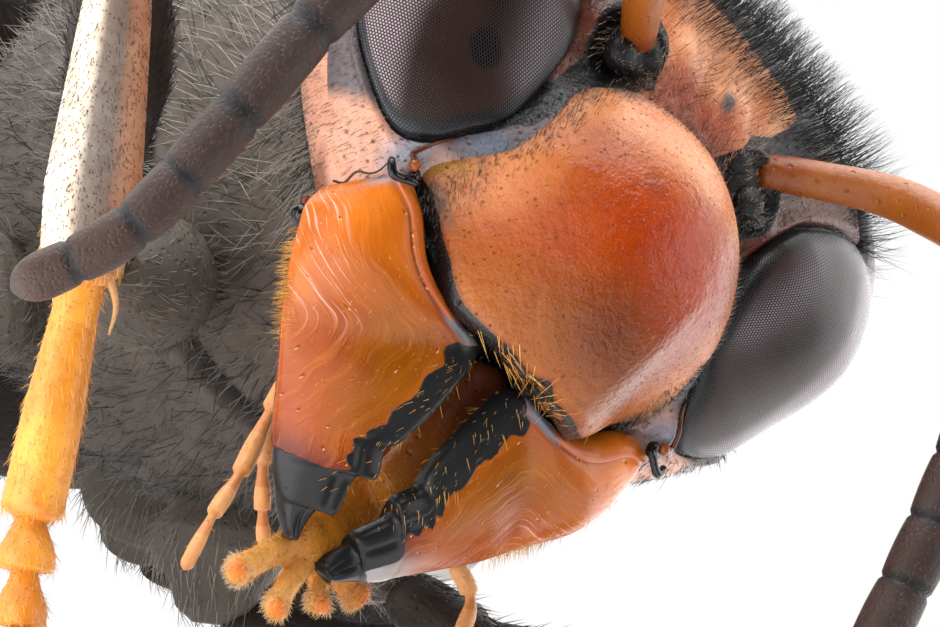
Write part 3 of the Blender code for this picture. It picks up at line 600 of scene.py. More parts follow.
CLYPEUS_OCHRE = (0.46, 0.13, 0.012)
CLYPEUS_DEEP = (0.38, 0.04, 0.001)
CLYPEUS_LOW = (0.15, 0.028, 0.001)
CLYPEUS_UPPER_WITH_SHEEN = (0.82, 0.33, 0.14)
CLYPEUS_SIDE = (0.7, 0.25, 0.09)
CLYPEUS_TOP_FUZZ = (0.4, 0.24, 0.19)
CLYPEUS_MUSTARD = (0.45, 0.26, 0.02)
CLYPEUS_SPOT = (0.2, 0.03, 0.006)
CLYPEUS_CORNER = (0.1, 0.065, 0.045)
CLYPEUS_RIM = (0.1, 0.025, 0.012)


def make_clypeus(finish):
    shares = np.concatenate(([0.02], np.linspace(0.06, 0.96, 56), [0.985, 1.0]))
    flat = CLYPEUS_MIDDLE + (CLYPEUS_OUTLINE - CLYPEUS_MIDDLE) * shares[:, None, None]
    x, z = flat[..., 0], flat[..., 1]
    depth = outline_distance(flat, CLYPEUS_OUTLINE)
    low = eased((-z - 0.75) / 0.3)
    y = clypeus_front(x, z) + 0.06 * near(depth, 0, 0.035)
    warts = 0.5 + 0.5 * np.sin(np.linspace(0, 1, depth.shape[1])[None] * 620 + 2.0
                               * np.sin(np.linspace(0, 90, depth.shape[1]))[None])
    y -= (0.015 + 0.03 * warts) * near(depth, 0.035, 0.025) * low
    top = np.stack((x, y, z), axis=-1)
    skirt = top[-1] + (0, 0.16, 0)
    bottom = np.stack((CLYPEUS_OUTLINE[:, 0] * 0.9, skirt[:, 1] + 0.2, CLYPEUS_OUTLINE[:, 1] * 0.9 - 0.04),
                      axis=-1)
    rings = np.concatenate((top, skirt[None], bottom[None]))
    points, faces = closed_grid(rings)
    tint = np.zeros((*rings.shape[:2], 3)) + CLYPEUS_OCHRE
    rx, rz = rings[..., 0], rings[..., 2]
    tint = blend(tint, CLYPEUS_DEEP, np.exp(-(rx / 1.2) ** 4 - ((rz + 0.75) / 0.7) ** 4))
    tint = blend(tint, CLYPEUS_LOW, 0.95 * np.exp(-(rx / 0.85) ** 2 - ((rz + 1.55) / 0.5) ** 2))
    # The upper clypeus is painted lighter and pinker: partly its own colour, partly a painted sheen from the
    # light above.
    tint = blend(tint, CLYPEUS_UPPER_WITH_SHEEN, 0.85 * rise(rz, -0.15, 0.55))
    tint = blend(tint, CLYPEUS_SIDE, 0.7 * rise(np.abs(rx), 0.95, 0.45) * rise(rz, -1.35, 0.4))
    tint = blend(tint, CLYPEUS_TOP_FUZZ,
                 0.7 * eased((0.16 - depth_of(rings, depth)) / 0.1) * rise(rz, 0.35, 0.2))
    tint = blend(tint, CLYPEUS_MUSTARD,
                 0.9 * np.exp(-((np.abs(rx) - 1.66) / 0.14) ** 2 - ((rz + 0.86) / 0.12) ** 2))
    tint = blend(tint, CLYPEUS_SPOT, 0.7 * np.exp(-(((rx + 0.55) / 0.1) ** 2 + ((rz + 0.3) / 0.1) ** 2)))
    steps = np.linalg.norm(np.diff(top, axis=0), axis=-1)
    edge = np.concatenate((np.cumsum(steps[::-1], axis=0)[::-1], np.zeros((3, depth.shape[1]))))
    lower = eased((-rz - 0.75) / 0.35)
    side_rim = near(np.abs(rx), 1.45, 0.2, 4) * near(rz, -1.15, 0.22, 4)
    dark = (0.03 * lower + 0.07 * side_rim - 0.01 - edge) / 0.04
    tint = blend(tint, CLYPEUS_CORNER, 0.8 * side_rim * fall(edge, 0.26, 0.1))
    dark[-2:] = np.where(lower[-2:] > 0.2, 1.0, -1.0)
    tint = blend(tint, CLYPEUS_RIM, fall(edge, 0.035, 0.03))
    fields = {"tint": padded(tint), "dark": padded(np.clip(dark, -1, 1))}
    return piece("clypeus_skin", (from_head(points), faces), finish, ("clypeus",), fields)


def blurred(values, passes):
    for _ in range(passes):
        values = (values + np.roll(values, 1, 0) + np.roll(values, -1, 0)) / 3
        values = (values + np.roll(values, 1, 1) + np.roll(values, -1, 1)) / 3
    return values


EYE_STEP = 0.018
FACET_PITCH = 0.03


def eye_shape():
    """(points, faces, place, flat) of the left eye, which dips under the head round it. place is the way
    along its skin with the distance in from its edge, and flat the place on the head."""
    u, z = np.meshgrid(np.arange(0.82, 4.75, EYE_STEP), np.arange(-1.12, 2.62, EYE_STEP))
    depth = outline_distance(np.stack((u, z), axis=-1), EYE_OUTLINE)
    inside = np.clip(blurred(np.maximum(depth, 0), 8) / EYE_REACH, 0, 1)
    dome = EYE_BULGE * (1 - (1 - inside) ** 2.4) ** 0.6 * (0.15 + 0.85 * rise(z, -0.6, 1.6))
    height = np.where(depth > 0, dome + 0.25 * depth / (depth + 0.05) * 0.1, 4.0 * depth)
    height = blurred(np.maximum(height, -0.3), 1)
    base = head_surface(u / EYE_DEGREE, z)
    points = base + head_normal(u / EYE_DEGREE, z) * height[..., None]
    across = np.cumsum(np.linalg.norm(np.diff(points, axis=1, prepend=points[:, :1]), axis=-1), axis=1)
    middle = across.shape[1] // 2
    across = across - across[:, middle : middle + 1]
    upward = np.cumsum(np.linalg.norm(np.diff(points, axis=0, prepend=points[:1]), axis=-1), axis=0)
    upward = upward[:, middle : middle + 1] + upward * 0
    rows, columns = u.shape
    faces = grid_faces(rows, columns)
    flat = depth.reshape(-1)
    faces = faces[(flat[faces] > -0.07).any(axis=1)]
    used, index = np.unique(faces.ravel(), return_inverse=True)
    place = np.stack((across, upward, depth), axis=-1).reshape(-1, 3)[used]
    flat = np.stack((u, z), -1).reshape(-1, 2)[used]
    return points.reshape(-1, 3)[used], index.reshape(-1, 3), place, flat


EYE_MOTTLE = (0.03, 0.01, 0.007)
FACET_GAP = (0.003, 0.0015, 0.0015)
EYE_BROWN = (0.05, 0.014, 0.007)
EYE_PAINTED_DARK_BAND = (0.018, 0.006, 0.004)
EYE_INNER_PAINTED_SHEEN = (0.2, 0.155, 0.18)
EYE_OUTER_PAINTED_SHEEN = (0.55, 0.43, 0.46)
EYE_TOP_PAINTED_SHEEN = (0.4, 0.34, 0.4)
EYE_PAINTED_PSEUDOPUPIL = (0.001, 0.001, 0.001)
EYE_RIM = (0.008, 0.007, 0.009)
EYE_RIM_PAINTED_REFLECTION = (0.09, 0.1, 0.13)


def eye_finish():
    t = Tree("eye_facets")
    grid = t.field("place", "Vector")
    size = 1 / FACET_PITCH
    scaled = t.vector("MULTIPLY", grid, (size, size / math.sqrt(3), 0))
    one = t.vector("SUBTRACT", t.vector("FRACTION", scaled), (0.5, 0.5, 0))
    two = t.vector("FRACTION", t.vector("ADD", scaled, (0.5, 0.5, 0)))
    two = t.vector("SUBTRACT", two, (0.5, 0.5, 0))
    stretch = (1, math.sqrt(3), 0)
    this = t.vector("LENGTH", t.vector("MULTIPLY", one, stretch), output="Value")
    other = t.vector("LENGTH", t.vector("MULTIPLY", two, stretch), output="Value")
    cell = t.math("MINIMUM", this, other)
    lens = t.math("SQRT", t.math("MAXIMUM", t.math("SUBTRACT", 0.36, t.math("MULTIPLY", cell, cell)), 0.0))
    place = t.place()
    wide = t.noise(place, 0.8, 2)
    tint = t.field("tint", "Color")
    tint = t.mix(t.ramp(wide, 0.4, 0.7, 0.0, 0.3), tint, EYE_MOTTLE)
    colour = t.mix(t.ramp(cell, 0.14, 0.47), tint, FACET_GAP)
    normal = t.bump(lens, 0.006)
    return t.set(base_color=colour, roughness=t.ramp(cell, 0.25, 0.55, 0.14, 0.6), normal=normal,
                 specular_ior_level=0.4)


def make_eyes(finish):
    points, faces, place, flat = eye_shape()
    for side_name, side in SIDES:
        z = flat[:, 1]
        u, depth = flat[:, 0], place[:, 2]
        tint = np.zeros((len(points), 3)) + EYE_BROWN
        # A dark band down the middle of each eye is painted shade, where the eye shows no reflection.
        tint = blend(tint, EYE_PAINTED_DARK_BAND, np.exp(-((u - 2.0 - 0.25 * z) / 0.22) ** 2) * rise(z, -0.1, 0.4))
        # Lilac zones on the inner side, the outer side and the top of each eye are a painted sheen, standing
        # in for the facets' reflections.
        inner = near(u, 1.5, 0.25) * rise(z, -0.3, 0.4) * fall(z, 1.9, 0.4)
        tint = blend(tint, EYE_INNER_PAINTED_SHEEN, inner)
        sheen_from = 2.85 - 0.5 * np.clip(z, 0, 1.3)
        outer = eased((u - sheen_from) / 0.4) * fall(u, 4.3, 0.8) * rise(z, -0.95, 0.2)
        tint = blend(tint, EYE_OUTER_PAINTED_SHEEN, outer)
        tint = blend(tint, EYE_TOP_PAINTED_SHEEN, rise(z, 1.3, 0.4) * rise(u, 1.55, 0.3) * fall(u, 3.6, 0.6))
        # On the right eye only, a dark spot is painted: a painted pseudopupil, the dark patch that the
        # facets show towards one view.
        if side < 0:
            spot = np.hypot((u - 2.09) / 0.2, z / 0.14)
            tint = blend(tint, EYE_PAINTED_PSEUDOPUPIL, fall(spot, 1.3, 0.5))
        tint = blend(tint, EYE_RIM, fall(depth, 0.16, 0.08))
        # A grey-blue line along the outer rim of each eye is a painted reflection.
        tint = blend(tint, EYE_RIM_PAINTED_REFLECTION, fall(depth, 0.12, 0.1) * rise(u, 2.5, 0.3))
        fields = {"tint": tint, "place": place}
        shape = (from_head(mirrored(points, side)), faces if side > 0 else faces[:, ::-1])
        piece(f"eye_{side_name}_facets", shape, finish, (f"eye_{side_name}",), fields,
              outward=False)


MANDIBLE_INNER = (
    (1.78, -0.55, -1.15), (1.5, -0.57, -1.3), (1.24, -0.57, -1.56), (0.98, -0.61, -1.72),
    (0.62, -0.64, -1.8), (0.27, -0.54, -1.8), (0.19, -0.34, -2.22), (0.2, -0.1, -2.68),
    (0.26, -0.03, -2.84), (0.15, 0.04, -3.06), (0.27, 0.14, -3.15), (0.15, 0.32, -3.43),
    (0.27, 0.42, -3.48), (0.18, 0.6, -3.72),
)
MANDIBLE_OUTER = (
    (2.08, 0.35, -1.35), (2.05, 0.2, -1.6), (1.97, 0.24, -1.8), (1.87, 0.29, -2.0), (1.73, 0.34, -2.2),
    (1.6, 0.38, -2.4), (1.41, 0.41, -2.65), (1.18, 0.5, -2.9), (1.0, 0.58, -3.09), (0.86, 0.6, -3.24),
    (0.76, 0.62, -3.36), (0.6, 0.64, -3.5), (0.47, 0.68, -3.58), (0.28, 0.64, -3.76),
)


MANDIBLE_ROWS = 196
MANDIBLE_FRONT = 56
MANDIBLE_BACK = 20


def mandible_shape():
    """The left jaw: its rings and, for each point, its place along, its share across and its way in."""
    inner = smooth_path(((1.68, -0.42, -0.85), *MANDIBLE_INNER), MANDIBLE_ROWS)
    outer = smooth_path(((1.85, 0.2, -1.1), (1.98, 0.22, -1.38), *MANDIBLE_OUTER[1:]), MANDIBLE_ROWS)
    k = np.linspace(-1, 13, MANDIBLE_ROWS)[:, None]
    along = k / 13
    width = (outer - inner)[:, None]
    facing = unit(np.cross(width[:, 0], (-0.45, 0.35, -1.0)))
    facing = np.where(facing[:, 1:2] > 0, -facing, facing)
    facing = unit(blurred(np.repeat(facing[:, None], 3, 1), 1)[:, 1])[:, None]
    bulge = 0.34 * (1 - 0.75 * along) * rise(k, -1.7, 4.5)
    thick = 0.42 * (1 - 0.45 * along)
    t = np.linspace(0, 1, MANDIBLE_FRONT)[None]
    arch = np.clip(np.sin(math.pi * t), 0, 1) ** 0.7
    base = inner[:, None] + width * t[..., None]
    ridge = 0.04 * near(t, 0.05, 0.03) * fall(k, 5.5, 1.5)
    ridge = ridge - 0.02 * near(t, 0.1, 0.02) * fall(k, 5.5, 1.5)
    groove = 0.02 * near(t, 0.2, 0.05) * rise(k, 5, 2)
    front = base + facing * (bulge * arch + 0.05 + ridge - groove)[..., None]
    t2 = np.linspace(1, 0, MANDIBLE_BACK)[None]
    arch2 = np.clip(np.sin(math.pi * t2), 0, 1) ** 0.7
    base2 = inner[:, None] + width * t2[..., None]
    back = base2 + facing * (bulge * arch2 * 0.3 - thick * (0.4 + 0.6 * arch2) + 0.05)[..., None]
    rings = np.concatenate((front, back), axis=1)
    across = np.repeat(np.concatenate((t, t2), axis=1), MANDIBLE_ROWS, 0)
    size = np.linalg.norm(width, axis=-1)
    return rings, k + across * 0, across, across * size


JAW_ORANGE = (0.38, 0.065, 0.001)
JAW_BASE = (0.76, 0.19, 0.012)
JAW_OCHRE = (0.3, 0.085, 0.001)
JAW_BEAD_PAINTED_HIGHLIGHT = (0.62, 0.16, 0.07)
JAW_GROOVE = (0.1, 0.012, 0.006)
JAW_OUTER = (0.66, 0.18, 0.03)
JAW_TIP_RED = (0.14, 0.014, 0.004)
JAW_TOP_PAINTED_REFLECTION = (0.3, 0.31, 0.36)
JAW_CORNER_PAINTED_REFLECTION = (0.13, 0.15, 0.19)
JAW_PAINTED_SHEEN = (0.5, 0.27, 0.2)
JAW_TIP_PAINTED_REFLECTION = (0.34, 0.33, 0.36)


def make_mandibles(finish):
    rings, k, across, inward = mandible_shape()
    points, faces = closed_grid(rings)
    tint = np.zeros((*k.shape, 3)) + JAW_ORANGE
    tint = blend(tint, JAW_BASE, fall(k, 4.5, 3.5))
    tint = blend(tint, JAW_OCHRE, near(across, 0.4, 0.28) * near(k, 5.5, 2.6))
    # The ridge along the inner edge is painted pink: a painted highlight along the ridge.
    tint = blend(tint, JAW_BEAD_PAINTED_HIGHLIGHT, 0.7 * near(across, 0.045, 0.02) * fall(k, 6, 1.5))
    tint = blend(tint, JAW_GROOVE, 0.9 * near(across, 0.09, 0.014) * fall(k, 6, 1.5))
    tint = blend(tint, JAW_OUTER, 0.6 * rise(across, 0.7, 0.25) * fall(k, 7, 3))
    tint = blend(tint, JAW_TIP_RED, eased((k + 0.6 * across - 8.1) / 1.6))
    # The top of each jaw by the hinge is painted grey-blue: a painted reflection of the light above.
    tint = blend(tint, JAW_TOP_PAINTED_REFLECTION, 0.85 * fall(k, 0.4, 0.5) * fall(across, 0.5, 0.2))
    # A grey-blue patch on the inner corner of each jaw is a painted reflection; the black edge is taken out
    # there.
    corner = near(k, 4.4, 0.55, 4) * fall(inward, 0.2, 0.08)
    tint = blend(tint, JAW_CORNER_PAINTED_REFLECTION, corner)
    edge = inward + 0.3 * np.maximum(0, 5.0 - k)
    dark = (0.29 + 0.03 * np.sin(k * 9) - edge) / 0.1
    dark = np.maximum(dark, (k + 0.6 * across - 9.6) / 0.6)
    back = np.zeros(k.shape, bool)
    back[:, MANDIBLE_FRONT + 2:] = True
    dark = np.where(back & (k > 5), 1.0, dark) - 2.5 * corner
    fields = {"tint": padded(tint), "dark": padded(np.clip(dark, -1, 1)),
              "stripe": padded(np.stack((k * 0.35, inward, back * 1.0), -1)),
              "sheen": padded(rise(across, 0.5, 0.2) * fall(k, 6.0, 2.5) * rise(k, -0.6, 0.6) * ~back)}
    # The left jaw alone gets painted light: a pinkish painted sheen on its lower outer part and a grey-blue
    # painted reflection on its tip, where the black tip is taken out.
    tip_reflection = eased((k + 1.2 * across - 9.4) / 1.2) * rise(across, 0.42, 0.12) * ~back
    painted_highlight_tint = blend(blend(tint, JAW_PAINTED_SHEEN, rise(k, 7.0, 2.5) * rise(across, 0.5, 0.3)), JAW_TIP_PAINTED_REFLECTION, tip_reflection)
    painted_highlight_fields = dict(fields, tint=padded(painted_highlight_tint), dark=padded(np.clip(dark - 3.0 * tip_reflection, -1, 1)))
    for side_name, side in SIDES:
        shape = (from_head(mirrored(points, side)), faces)
        name = f"mandible_{side_name}"
        piece(name + "_skin", shape, finish, (name,), painted_highlight_fields if side > 0 else fields)


JAW_MOTTLE = (0.6, 0.4, 0.2)
JAW_STRIA = (0.85, 0.3, 0.03)
JAW_PAINTED_STREAK = (0.92, 0.52, 0.4)
JAW_PIT = (0.25, 0.03, 0.006)
JAW_GLINT = (0.95, 0.5, 0.2)
JAW_BLACK = (0.011, 0.011, 0.012)


def mandible_finish():
    t = Tree("mandible_striae")
    place = t.place()
    grid = t.field("stripe", "Vector")
    sway = t.add("ShaderNodeTexNoise", {"Vector": place, "Scale": 2.5}).outputs["Color"]
    bent = t.vector("ADD", grid, t.vector("SCALE", sway, scale=0.22))
    stretched = t.vector("MULTIPLY", bent, (1.6, 10.0, 1.0))
    lines = t.noise(stretched, 1.0, 4, 0.6)
    tint = t.field("tint", "Color")
    tint = t.mix(t.ramp(t.noise(place, 1.8, 3), 0.35, 0.7, 0.0, 0.5), tint, JAW_MOTTLE, "MULTIPLY")
    tint = t.mix(t.ramp(lines, 0.5, 0.7, 0.0, 0.15), tint, JAW_STRIA)
    # Long pinkish streak highlights on the outer part of each jaw, where the sheen field is high, are
    # painted into the colour.
    painted_streaks = t.noise(t.vector("MULTIPLY", grid, (1.1, 22.0, 1.0)), 1.0, 4, 0.6)
    painted_streaks = t.math("MULTIPLY", t.ramp(painted_streaks, 0.54, 0.66), t.field("sheen"))
    tint = t.mix(t.math("MULTIPLY", painted_streaks, 0.75), tint, JAW_PAINTED_STREAK)
    spread_out = t.vector("MULTIPLY", grid, (5.5, 9.0, 1.0))
    pits = t.cells(spread_out, 1.0)
    pit = t.ramp(pits, 0.03, 0.11, 1.0, 0.0)
    tint = t.mix(t.math("MULTIPLY", pit, 0.6), tint, JAW_PIT)
    # A light crescent beside each pit is a painted glint.
    beside = t.cells(t.vector("ADD", spread_out, (-0.12, 0.05, 0.0)), 1.0)
    glint = t.math("MULTIPLY", t.ramp(beside, 0.04, 0.13, 1.0, 0.0), t.math("SUBTRACT", 1.0, pit))
    tint = t.mix(t.math("MULTIPLY", glint, 0.75), tint, JAW_GLINT)
    shake = t.math("MULTIPLY", t.math("SUBTRACT", t.noise(place, 10.0, 3, 0.55), 0.5), 0.8)
    dark = t.ramp(t.math("ADD", t.field("dark"), shake), -0.12, 0.12)
    colour = t.mix(dark, tint, JAW_BLACK)
    normal = t.bump(t.noise(place, 40.0, 2), 0.002)
    lined = t.math("MULTIPLY", lines, t.ramp(dark, 0.0, 1.0, 1.0, 0.15))
    normal = t.bump(lined, 0.018, 0.8, before=normal)
    normal = t.bump(t.ramp(pits, 0.03, 0.16), 0.012, before=normal)
    rough = t.mix(dark, (0.25, 0.25, 0.25), (0.3, 0.3, 0.3))
    return t.set(base_color=colour, roughness=rough, normal=normal, specular_ior_level=0.35)


TONGUE_BASE = ((0.42, 0.0, -1.36), (0.42, 0.16, -1.68), (0.44, 0.3, -2.05), (0.42, 0.42, -2.45),
               (0.4, 0.55, -2.85))
TONGUE_STEM = ((0.5, 0.74, -1.9), (0.5, 0.84, -2.45), (0.36, 0.86, -3.0), (0.22, 0.84, -3.5))
TONGUE_LOBES = (
    ((-0.64, 0.53, -4.48), 0.14), ((-0.08, 0.52, -4.46), 0.13), ((0.97, 0.9, -3.47), 0.15),
    ((0.5, 0.75, -3.95), 0.13),
)
PALPS = {
    "maxillary_palp_right": ((-0.8, 0.95, -2.1), (-0.78, 1.0, -2.75), (-0.78, 0.95, -3.45),
                             (-0.88, 0.85, -4.0), (-0.9, 0.8, -4.62)),
    "maxillary_palp_left": ((0.8, 0.95, -2.1), (1.55, 1.05, -2.3), (2.02, 1.0, -2.5),
                            (2.13, 1.0, -2.85), (2.16, 1.05, -3.3)),
    "labial_palp_right": ((-0.4, 1.15, -2.4), (-0.55, 1.2, -2.8), (-0.24, 1.25, -3.25), (0.04, 1.3, -3.53)),
    "labial_palp_left": ((0.5, 1.38, -2.7), (0.55, 1.5, -3.1), (0.6, 1.56, -3.4), (0.6, 1.6, -3.7)),
}


def spread(values, count):
    """The values, resampled to count of them."""
    values = np.asarray(values, float)
    places = np.linspace(0, len(values) - 1, count)
    if values.ndim == 1:
        return np.interp(places, np.arange(len(values)), values)
    return np.stack([np.interp(places, np.arange(len(values)), column) for column in values.T], axis=1)


def round_ends(radii, reach=0.12):
    """Radii with both ends drawn in to a round cap."""
    t = np.linspace(0, 1, len(radii))
    cap = np.sqrt(np.clip(1 - (1 - np.minimum(t, 1 - t) / reach) ** 2, 0.04, 1))
    cap = np.where(np.minimum(t, 1 - t) < reach, cap, 1.0)
    return radii * (cap[:, None] if radii.ndim == 2 else cap)


def remeshed(shape, voxel):
    """The shape's closed surfaces grown into one, smoothed."""
    points, faces = shape
    mesh = bpy.data.meshes.new("draft")
    mesh.from_pydata((points * MM).tolist(), [], faces.tolist())
    draft = linked("draft", mesh)
    remesh = draft.modifiers.new("join", "REMESH")
    remesh.mode = "VOXEL"
    remesh.voxel_size = voxel * MM
    soften = draft.modifiers.new("soften", "SMOOTH")
    soften.iterations = 4
    bpy.context.view_layer.update()
    found = draft.evaluated_get(bpy.context.evaluated_depsgraph_get()).to_mesh()
    found.calc_loop_triangles()
    points = np.empty(len(found.vertices) * 3, np.float32)
    found.vertices.foreach_get("co", points)
    faces = np.empty(len(found.loop_triangles) * 3, np.int32)
    found.loop_triangles.foreach_get("vertices", faces)
    bpy.data.objects.remove(draft)
    return points.reshape(-1, 3).astype(float) / MM, faces.reshape(-1, 3)


TONGUE_YELLOW = (0.72, 0.26, 0.02)
TONGUE_OCHRE = (0.42, 0.13, 0.02)
TONGUE_BROWN = (0.2, 0.045, 0.014)
TONGUE_PALE = (0.85, 0.5, 0.15)
TONGUE_PAD = (0.85, 0.2, 0.015)


def make_tongue(finish):
    base = spread(((0.24, 0.14), (0.26, 0.16), (0.28, 0.18), (0.3, 0.2)), 20)
    parts = [closed_grid(tube_rings(smooth_path(TONGUE_BASE, 20), round_ends(base, 0.1), 28, up=(0, 1, 0)))]
    stem = spread(((0.34, 0.2), (0.3, 0.2), (0.34, 0.2), (0.34, 0.2)), 30)
    parts.append(closed_grid(tube_rings(smooth_path(TONGUE_STEM, 30), round_ends(stem, 0.1), 24,
                                        up=(0, 1, 0))))
    for tip, radius in TONGUE_LOBES:
        start = np.array((0.22 + tip[0] * 0.15, 0.82, -3.35))
        line = smooth_path((start, (start + tip) / 2 + (0, 0.05, 0), tip), 24)
        wide = round_ends(spread((0.24, radius * 0.95, radius * 0.85, radius * 1.05), 24), 0.1)
        parts.append(closed_grid(tube_rings(line, np.stack((wide, wide * 0.75), axis=1), 18, up=(0, 1, 0))))
    points, faces = remeshed(merged(*parts), 0.028)
    tint = np.zeros((len(points), 3)) + TONGUE_YELLOW
    tint = blend(tint, TONGUE_OCHRE, eased((points[:, 2] + 3.0) / 0.5))
    tint = blend(tint, TONGUE_BROWN, eased((points[:, 2] + 2.35) / 0.5))
    tint = blend(tint, TONGUE_PALE, 0.5 * eased((-points[:, 2] - 3.5) / 0.4))
    for tip, radius in TONGUE_LOBES:
        reach = np.linalg.norm(points - (np.array(tip) + (0, -radius * 0.6, 0.05)), axis=1)
        tint = blend(tint, TONGUE_PAD, 0.9 * eased((radius * 1.05 - reach) / 0.06))
    fields = plain_fields(tint)
    piece("tongue_skin", (from_head(points), faces), finish, ("tongue",), fields)


PALP_PALE = (0.78, 0.38, 0.14)
PALP_JOINT = (0.6, 0.2, 0.05)
PALP_PARTS = 4


def make_palps(finish):
    count = 100
    for name, path in PALPS.items():
        line = smooth_path(path, count)
        t = np.linspace(0, 1, count)
        part = (t * PALP_PARTS) % 1.0
        joints = 0.55 + 0.45 * eased(part * 1.5) - 0.45 * rise(part, 0.93, 0.07)
        radii = round_ends(0.105 * joints * (1 - 0.42 * t), 0.04)
        points, faces = closed_grid(tube_rings(line, radii, 16, up=(0, 1, 0)))
        tint = np.zeros((count, 16, 3)) + PALP_PALE
        tint = blend(tint, PALP_JOINT, np.repeat((joints < 0.85)[:, None], 16, 1) * 0.6)
        fields = plain_fields(padded(tint))
        piece(name + "_skin", (from_head(points), faces), finish, (name,), fields)


SCAPE_RADIUS = 0.2
FLAGELLUM_RADIUS = 0.245
ELBOWS = {"right": (-2.16, -1.69, 8.99), "left": (2.68, -1.5, 8.96)}
FLAGELLA = {
    "right": (ELBOWS["right"], (-2.84, -1.88, 8.48), (-3.09, -2.26, 7.3), (-3.3, -2.55, 6.2),
              (-3.23, -2.88, 4.57), (-3.22, -3.02, 3.48), (-3.46, -2.79, 2.48)),
    "left": (ELBOWS["left"], (3.1, -1.95, 8.35), (3.6, -2.3, 7.2), (3.98, -2.65, 5.96), (4.3, -3.0, 4.5),
             (4.5, -3.2, 3.3)),
}


SCAPE_KNOTS = {
    "right": ((-0.78, -1.12, 1.2), (-1.14, -1.5, 1.15), (-1.6, -1.85, 1.25)),
    "left": ((1.0, -1.12, 1.32), (1.4, -1.5, 1.5), (1.85, -2.1, 1.58)),
}


def bead(middle, radii, wrinkle=0.06, rows=16, columns=22):
    """A small knob, a little uneven, in the head's own frame."""
    polar, turn = np.meshgrid(np.linspace(0.15, math.pi - 0.15, rows),
                              np.linspace(0, 2 * math.pi, columns, endpoint=False),
                              indexing="ij")
    swell = 1 + wrinkle * np.sin(2 * turn + 3 * polar) * np.sin(3 * polar + middle[0] * 9)
    ball = np.stack((np.sin(polar) * np.cos(turn), np.sin(polar) * np.sin(turn), np.cos(polar)), axis=-1)
    return closed_grid(np.asarray(middle) + ball * swell[..., None] * np.asarray(radii))


JAW_HINGES = (
    ((1.88, -0.68, -1.1), (0.055, 0.055, 0.055), (0.3, 0.07, 0.006)),
    ((1.8, -0.64, -1.16), (0.06, 0.06, 0.08), (0.006, 0.006, 0.007)),
    ((1.95, 0.33, -1.6), (0.1, 0.1, 0.09), (0.006, 0.005, 0.005)),
    ((1.97, 0.25, -1.5), (0.1, 0.12, 0.07), (0.12, 0.02, 0.008)),
)
JAW_ARMS = (
    (((2.05, -0.57, -1.14), (2.03, -0.6, -1.22), (1.98, -0.62, -1.28), (1.9, -0.64, -1.26),
      (1.82, -0.66, -1.22), (1.75, -0.68, -1.21)), (0.03, 0.04, 0.042, 0.036, 0.04, 0.03),
      (0.006, 0.006, 0.008)),
    (((1.9, -0.7, -1.08), (1.95, -0.68, -1.03), (1.92, -0.72, -0.95), (1.88, -0.75, -0.88),
      (1.82, -0.77, -0.79), (1.74, -0.83, -0.7)), (0.03, 0.026, 0.022, 0.018, 0.014, 0.01),
      (0.1, 0.022, 0.005)),
)
SUTURE_BROWN = (0.05, 0.016, 0.01)
SOCKET_BLACK = (0.008, 0.008, 0.009)
OCELLUS_AMBER = (0.1, 0.035, 0.012)
CHEEK_SEAM = tuple((turned, 0.07 + 0.02 * math.sin(turned * 0.35)) for turned in range(60, 94, 3))
OCELLI = ((0.0, 2.6), (24.0, 2.68), (-24.0, 2.68))
SOCKET_KNOBS = (
    ((0.98, -1.27, 0.9), (0.16, 0.14, 0.15)), ((0.68, -1.25, 1.13), (0.14, 0.13, 0.14)),
    ((0.84, -1.17, 1.06), (0.24, 0.15, 0.22)),
)


def make_hinges(finish):
    """The joints where the jaws meet the head."""
    shapes = [(bead(mirrored(at, side), size), tint) for at, size, tint in JAW_HINGES for side in (-1, 1)]
    for path, radii, tint in JAW_ARMS:
        for side in (-1, 1):
            line = smooth_path(mirrored(path, side), 30)
            shapes.append((closed_grid(tube_rings(line, round_ends(spread(radii, 30), 0.08), 14)), tint))
    knob_piece("jaw_hinges", shapes, finish)


def make_sutures(finish):
    """The seam under each cheek and the one round the upper clypeus."""
    seam = np.array([head_surface(turned, np.interp(turned, GENA_ANGLES, GENA_LINE) + lift)
                     for turned, lift in CHEEK_SEAM])
    above = CLYPEUS_OUTLINE[(CLYPEUS_OUTLINE[:, 0] > 0.2) & (CLYPEUS_OUTLINE[:, 1] > -0.98)]
    above = above[np.argsort(-above[:, 1])]
    rim = np.stack((above[:, 0], clypeus_front(*above.T) + 0.07, above[:, 1]), axis=-1)
    lines = ((smooth_path(seam, 60), (0.006, 0.009, 0.012, 0.012)), (rim, (0.004, 0.01, 0.012, 0.01)))
    shapes = []
    for side in (-1, 1):
        for line, radii in lines:
            rings = tube_rings(mirrored(line, side), round_ends(spread(radii, len(line)), 0.04), 10)
            shapes.append((closed_grid(rings), SUTURE_BROWN))
    knob_piece("head_sutures", shapes, finish)


def make_sockets(finish):
    """The knobs that the antennae stand on."""
    shapes = [(bead(mirrored(at, side), size, 0.04, 24, 34), SOCKET_BLACK)
              for at, size in SOCKET_KNOBS for side in (-1, 1)]
    knob_piece("antenna_sockets", shapes, finish)


def make_ocelli(finish):
    """The three small eyes on the vertex."""
    shapes = [(bead(head_surface(turned, height) + (0, 0.03, -0.02), (0.11, 0.1, 0.08), 0.0, 20, 28),
               OCELLUS_AMBER) for turned, height in OCELLI]
    knob_piece("ocelli", shapes, finish)


def knob_piece(name, shapes, finish):
    points, faces = merged(*[shape for shape, _ in shapes])
    tint = np.concatenate([np.zeros((len(shape[0]), 3)) + colour for shape, colour in shapes])
    fields = plain_fields(tint)
    piece(name, (from_head(points), faces), finish, (), fields)


SCAPE_ORANGE = (0.33, 0.095, 0.006)
SCAPE_BASE = (0.26, 0.055, 0.002)
FLAGELLUM_BROWN = (0.04, 0.025, 0.021)
FLAGELLUM_RED = (0.05, 0.02, 0.014)
FLAGELLUM_RING = (0.014, 0.012, 0.014)


